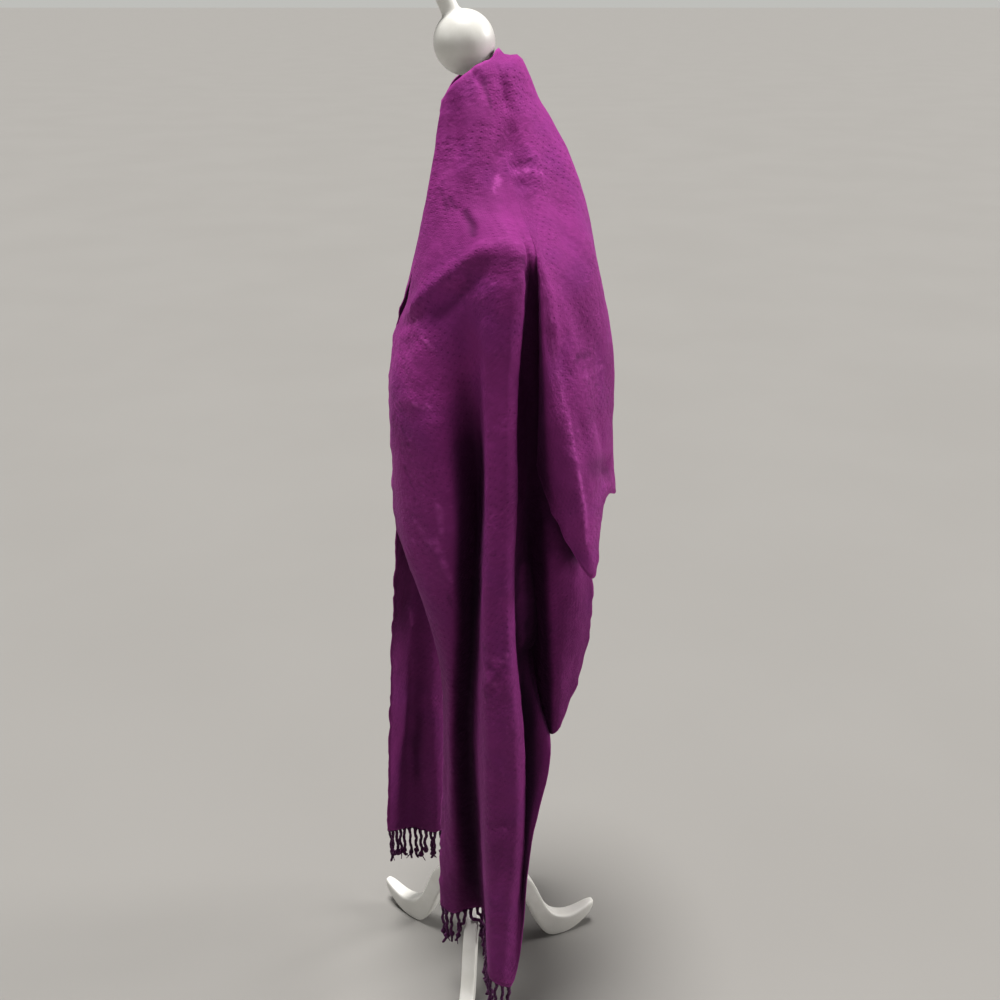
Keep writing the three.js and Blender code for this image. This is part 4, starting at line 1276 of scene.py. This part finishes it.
def pashmina_finish():
    """Fine wool with a small diamond weave, a soft nap and woven selvages, with painted highlights
    and painted shade on its weave, flecks and pressed lines, and painted shade in its folds and
    towards its bottom.
    """
    deep, bright, violet = (0.225, 0.0260, 0.172), (0.325, 0.0400, 0.248), (0.205, 0.0260, 0.205)
    # Below: the first thread colour is a painted highlight on the weave's raised threads, and the
    # pit colour is painted shade in its pits.
    raised_thread_highlight, thick_thread = (0.48, 0.060, 0.37), (0.47, 0.055, 0.36)
    pit_shade = (0.105, 0.007, 0.085)
    # The first fleck colour is a painted highlight on raised flecks, the second painted shade on
    # sunk ones.
    raised_fleck_highlight, sunk_fleck_shade = (0.50, 0.085, 0.40), (0.090, 0.010, 0.080)
    # The first pressed-line colour is painted shade for dark lines, the second a painted highlight
    # for pale ones.
    crease_shade_colour, crease_highlight_colour = (0.050, 0.0060, 0.042), (0.60, 0.11, 0.48)
    # The second colour on the line below is painted shade, for the cloth darker towards the
    # bottom.
    woven_edge, lower_shade_colour = (0.52, 0.070, 0.40), (0.070, 0.0105, 0.056)
    # Both fold colours are painted shade deep in the folds: the first low on the cloth, the second
    # near its top.
    low_fold_shade, high_fold_shade = (0.012, 0.0022, 0.014), (0.085, 0.0115, 0.072)

    f = Finish("pashmina_weave")
    place = f.place()
    _, _, height = f.parts(place)
    weave = f.chart("weave")
    u, v, _ = f.parts(weave)
    u = u + (f.noise(place, 34.0, 2.0) - 0.5) * 0.0045
    v = v + (f.noise(place, 27.0, 2.0) - 0.5) * 0.0045
    # The weave's lattice: its raised threads get a painted highlight and its pits painted shade,
    # over the bump.
    lattice = (u * (TURN / 0.0106)).wave() * (v * (TURN / 0.0096)).wave()
    uneven = f.noise(place, 22.0, 3.0).between(0.40, 0.64)
    pits = lattice.between(0.60, 1.0) * (0.08 + 0.92 * uneven)
    raised = (0.0 - lattice).between(0.55, 1.0) * (0.30 + 0.70 * uneven)
    twill = ((u + v) * (TURN / 0.0021)).wave()
    threads = (v * (TURN / 0.0011)).wave() + (u * (TURN / 0.0011)).wave()
    slub = f.noise(f.stretch(weave, (60.0, 700.0, 1.0)), 1.0, 3.0)
    # Flecks in patches: raised in the bump where they are painted lighter as a highlight, and sunk
    # where they are painted darker as shade.
    fleck = f.noise(f.stretch(weave, (150.0, 210.0, 1.0)), 1.0, 2.0)
    fleck_patches = f.noise(place, 13.0, 2.0).between(0.38, 0.60)
    # Painted shade along dark pressed lines and a broken painted highlight along pale ones; these
    # also sink or raise the bump.
    crease_light_and_shade = f.kept("worn")
    crease_shade = (0.0 - crease_light_and_shade).between(0.1, 1.0)
    broken = f.noise(place, 110.0, 2.0).between(0.40, 0.62)
    worn = crease_light_and_shade.between(0.0, 1.0) * (0.25 + 0.75 * broken)
    selvage = 1 - f.kept("border").between(0.0006, 0.0034)
    # Painted shade: the cloth grows darker towards the bottom.
    hanging = 1 - height.between(0.40, 1.00)

    # Painted shade deep in the folds, lighter near the top of the cloth.
    closed = f.mix(height.between(0.62, 0.96), low_fold_shade, high_fold_shade)
    colour = f.layers(
        f.mix(f.noise(place, 7.5, 4.0).between(0.30, 0.72), deep, bright),
        (f.noise(place, 16.0, 2.0).between(0.45, 0.75) * 0.35, violet),
        # painted highlight on the raised threads, then painted shade in the pits
        (raised * 0.13, raised_thread_highlight),
        (pits * 0.32, pit_shade),
        (slub.between(0.56, 0.74) * 0.16, thick_thread),
        # painted highlight on raised flecks, then painted shade on sunk ones
        (fleck.between(0.55, 0.72) * fleck_patches * 0.30, raised_fleck_highlight),
        ((1.0 - fleck).between(0.56, 0.72) * fleck_patches * 0.35, sunk_fleck_shade),
        # painted shade and painted highlight along the pressed lines
        (crease_shade * 0.80, crease_shade_colour),
        (worn * 0.50, crease_highlight_colour),
        (selvage * 0.45, woven_edge),
        # painted shade, darker towards the bottom
        (hanging * 0.46, lower_shade_colour),
        # painted shade in the folds
        (f.kept("fold").between(0.13, 0.52) * 0.92, closed),
    )

    relief = raised * 0.6 - pits * 1.2 + twill * 0.10 + threads * 0.07
    relief = relief + (slub - 0.5) * 0.5 + (fleck - 0.5) * 2.4 * fleck_patches + worn * 1.4 - crease_shade * 1.4
    crinkle = f.noise(place, 95.0, 3.0) + f.noise(f.stretch(place, (1.0, 1.0, 0.45)), 48.0, 2.0)
    normal = f.bump(relief, 0.55, 0.0007, f.bump(crinkle, 0.6, 0.0026))
    return f.close(
        Base_Color=colour, Roughness=0.74 + 0.12 * pits - 0.06 * raised, Normal=normal,
        Sheen_Weight=0.16, Sheen_Roughness=0.42, Sheen_Tint=(0.95, 0.20, 0.80, 1),
        Specular_IOR_Level=0.14,
    )


def fringe_finish():
    """Two-ply strands twisted from the cloth's own threads."""
    f = Finish("twisted_fringe")
    place = f.place()
    u, v, _ = f.parts(f.chart("twist"))
    ply = (u * TURN * 2 - v * (TURN / 0.0034)).wave()
    fibre = (u * TURN * 5 + v * (TURN / 0.0009)).wave()
    fluff = f.noise(place, 900.0, 3.0)
    tone = f.noise(place, 60.0, 2.0)
    colour = f.mix(tone.between(0.3, 0.7), (0.030, 0.0030, 0.028), (0.064, 0.005, 0.054))
    colour = f.mix(fluff.between(0.52, 0.72) * 0.35, colour, (0.13, 0.016, 0.11))
    relief = ply * 0.6 + fibre * 0.25 + fluff * 0.8
    return f.close(
        Base_Color=colour, Roughness=0.80 + 0.1 * fluff, Normal=f.bump(relief, 0.6, 0.0006),
        Sheen_Weight=0.35, Sheen_Roughness=0.4, Sheen_Tint=(0.9, 0.4, 0.85, 1),
        Specular_IOR_Level=0.25,
    )


def jersey_finish():
    """Knitted cotton cover, stretched over the form, with upright seams."""
    f = Finish("knitted_jersey")
    place = f.place()
    x, y, z = f.parts(place)
    x = x - (POLE.x + 0.026)
    y = y - POLE.y
    around = f.node("ShaderNodeMath", {"operation": "ARCTAN2"}, y, x)
    rib = (around * 310.0).wave()
    stitch = (z * (TURN / 0.0016) + rib * 1.1).wave()
    seam_front = 1 - y.size().between(0.0004, 0.0017)
    seam_side = 1 - (x - 0.006).size().between(0.0004, 0.0017)
    seam = seam_front.maths("MAXIMUM", seam_side)
    tack = (z * (TURN / 0.0046)).wave().between(-0.2, 0.6)
    cloud = f.noise(place, 9.0, 4.0)
    pill = f.noise(place, 240.0, 2.0).between(0.5, 0.75)
    colour = f.layers(
        f.mix(cloud.between(0.35, 0.7), (0.58, 0.57, 0.545), (0.66, 0.65, 0.63)),
        (pill * 0.25, (0.52, 0.51, 0.49)),
        (seam * (0.35 + 0.3 * tack), (0.45, 0.44, 0.425)),
    )
    relief = rib * 0.35 + stitch * 0.35 - seam * 2.2 + seam * tack + cloud * 0.6
    return f.close(
        Base_Color=colour, Roughness=0.86 + 0.08 * cloud, Normal=f.bump(relief, 0.5, 0.0006),
        Sheen_Weight=0.2, Sheen_Roughness=0.5, Specular_IOR_Level=0.3,
    )


def painted_wood_finish():
    """Warm white paint over wood: faint brush marks, soft grain, scuffs and floor dust."""
    f = Finish("painted_wood")
    place = f.place()
    _, _, z = f.parts(place)
    brush = f.noise(f.stretch(place, (14.0, 14.0, 3.0)), 26.0, 5.0, 0.6)
    grain = f.noise(f.stretch(place, (60.0, 60.0, 5.0)), 7.0, 4.0, 0.6)
    mottle = f.noise(place, 38.0, 4.0)
    scuff = f.noise(place, 150.0, 5.0, 0.7).between(0.63, 0.72)
    low = 1 - z.between(0.0, 0.085)
    scuff = scuff * (0.18 + 0.82 * low)
    colour = f.layers(
        f.mix(mottle.between(0.35, 0.7), (0.80, 0.79, 0.74), (0.86, 0.85, 0.81)),
        (low * 0.30, (0.66, 0.64, 0.60)),
        (scuff * 0.6, (0.55, 0.51, 0.45)),
    )
    rough = 0.34 + 0.16 * mottle + 0.28 * scuff + 0.12 * low
    relief = brush * 0.8 + grain * 0.4 - scuff * 0.9 + mottle * 0.4
    return f.close(
        Base_Color=colour, Roughness=rough, Normal=f.bump(relief, 0.22, 0.0007),
        Coat_Weight=0.18, Coat_Roughness=0.25,
    )


def painted_pole_finish():
    """A drawn tube under smooth white paint, with fine lengthwise rubbing."""
    f = Finish("painted_tube")
    place = f.place()
    rub = f.noise(f.stretch(place, (220.0, 220.0, 6.0)), 4.0, 4.0, 0.6)
    mottle = f.noise(place, 24.0, 3.0)
    chips = f.noise(place, 210.0, 3.0, 0.7).between(0.70, 0.75)
    colour = f.layers(
        f.mix(mottle.between(0.3, 0.7), (0.78, 0.78, 0.76), (0.85, 0.85, 0.83)),
        (rub.between(0.58, 0.74) * 0.35, (0.62, 0.61, 0.59)),
        (chips * 0.6, (0.35, 0.34, 0.33)),
    )
    rough = 0.26 + 0.18 * rub + 0.25 * chips
    relief = rub * 0.4 - chips * 0.8 + mottle * 0.5
    return f.close(
        Base_Color=colour, Roughness=rough, Normal=f.bump(relief, 0.18, 0.0005),
        Coat_Weight=0.2, Coat_Roughness=0.18,
    )


def floor_finish():
    """Plain pale floor with the faintest clouding."""
    f = Finish("pale_floor")
    place = f.place()
    cloud = f.noise(place, 1.6, 3.0)
    colour = f.mix(cloud.between(0.3, 0.7), (0.270, 0.262, 0.248), (0.278, 0.270, 0.256))
    return f.close(Base_Color=colour, Roughness=0.85 + 0.08 * cloud)


def give(piece, material, slot, *nodes):
    """Finishes a piece, ties it to the frame and hides the nodes it stands for."""
    piece.data.materials.clear()
    piece.data.materials.append(material)
    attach(piece, "root")
    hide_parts(*nodes)


def add_light(name, way, strength, colour):
    """A broad, soft light from far off, shining the given way."""
    data = bpy.data.lights.new(name, "SUN")
    data.energy = strength
    data.angle = LIGHT_SPREAD
    data.color = colour
    light = bpy.data.objects.new(name, data)
    light.rotation_euler = Vector(way).to_track_quat("-Z", "Y").to_euler()
    bpy.context.scene.collection.objects.link(light)


def make_camera():
    """The camera, and how its picture is shown."""
    scene = bpy.context.scene
    lens = bpy.data.cameras.new("camera")
    lens.sensor_width = CAMERA_SENSOR
    lens.lens = CAMERA_LENS
    lens.clip_start, lens.clip_end = CAMERA_RANGE
    camera = bpy.data.objects.new("camera", lens)
    camera.location = POLE + CAMERA_PLACE
    camera.rotation_euler = CAMERA_TURN
    scene.collection.objects.link(camera)
    scene.camera = camera
    scene.view_settings.view_transform = "Standard"
    scene.view_settings.gamma = GAMMA
    scene.view_settings.exposure = EXPOSURE


def make_studio():
    """A plain pale floor and wall under soft light."""
    bpy.ops.object.select_all(action="DESELECT")
    bpy.ops.mesh.primitive_grid_add(
        x_subdivisions=8, y_subdivisions=8, size=FLOOR_SIZE, location=(0, 0, 0),
    )
    floor = bpy.context.object
    floor.name = "studio_floor"
    floor.location.z = -FLOOR_DROP
    floor.data.materials.append(floor_finish())

    world = bpy.data.worlds.new("studio")
    bpy.context.scene.world = world
    world.use_nodes = True
    nodes, links = world.node_tree.nodes, world.node_tree.links
    around = nodes["Background"]
    around.inputs["Color"].default_value = SKY
    around.inputs["Strength"].default_value = SKY_STRENGTH
    wall = nodes.new("ShaderNodeBackground")
    wall.inputs["Color"].default_value = WALL
    seen, both = nodes.new("ShaderNodeLightPath"), nodes.new("ShaderNodeMixShader")
    links.new(seen.outputs["Is Camera Ray"], both.inputs["Fac"])
    links.new(around.outputs[0], both.inputs[1])
    links.new(wall.outputs[0], both.inputs[2])
    links.new(both.outputs[0], nodes["World Output"].inputs["Surface"])
    for light in LIGHTS:
        add_light(*light)


def main():
    make_camera()
    make_studio()
    scarf, grid = make_scarf()
    hem = HEM_FOLDS * STEPS_PER_FOLD + 1
    near_fringe = make_fringe("fringe_strands_near", grid[:hem, -1], 11)
    far_fringe = make_fringe("fringe_strands_far", grid[-hem:, -1], 23)
    pashmina, twisted = pashmina_finish(), fringe_finish()
    give(scarf, pashmina, "pashmina", "scarf_front_near", "scarf_back", "scarf_front_far")
    give(near_fringe, twisted, "fringe", "fringe_near")
    give(far_fringe, twisted, "fringe", "fringe_far")

    painted = painted_wood_finish()
    give(make_form(), jersey_finish(), "jersey", "torso")
    give(turned("painted_neck_cap"), painted, "painted_wood", "neck_cap")
    give(turned("painted_finial"), painted, "painted_wood", "finial")
    give(turned("painted_plate"), painted, "painted_wood", "base_plate")
    give(turned("painted_hub"), painted, "painted_wood", "hub")
    give(turned("painted_pole_tube"), painted_pole_finish(), "painted_pole", "pole")
    for i, leg in enumerate(make_legs()):
        give(leg, painted, "painted_wood", f"leg_{i + 1}")


main()
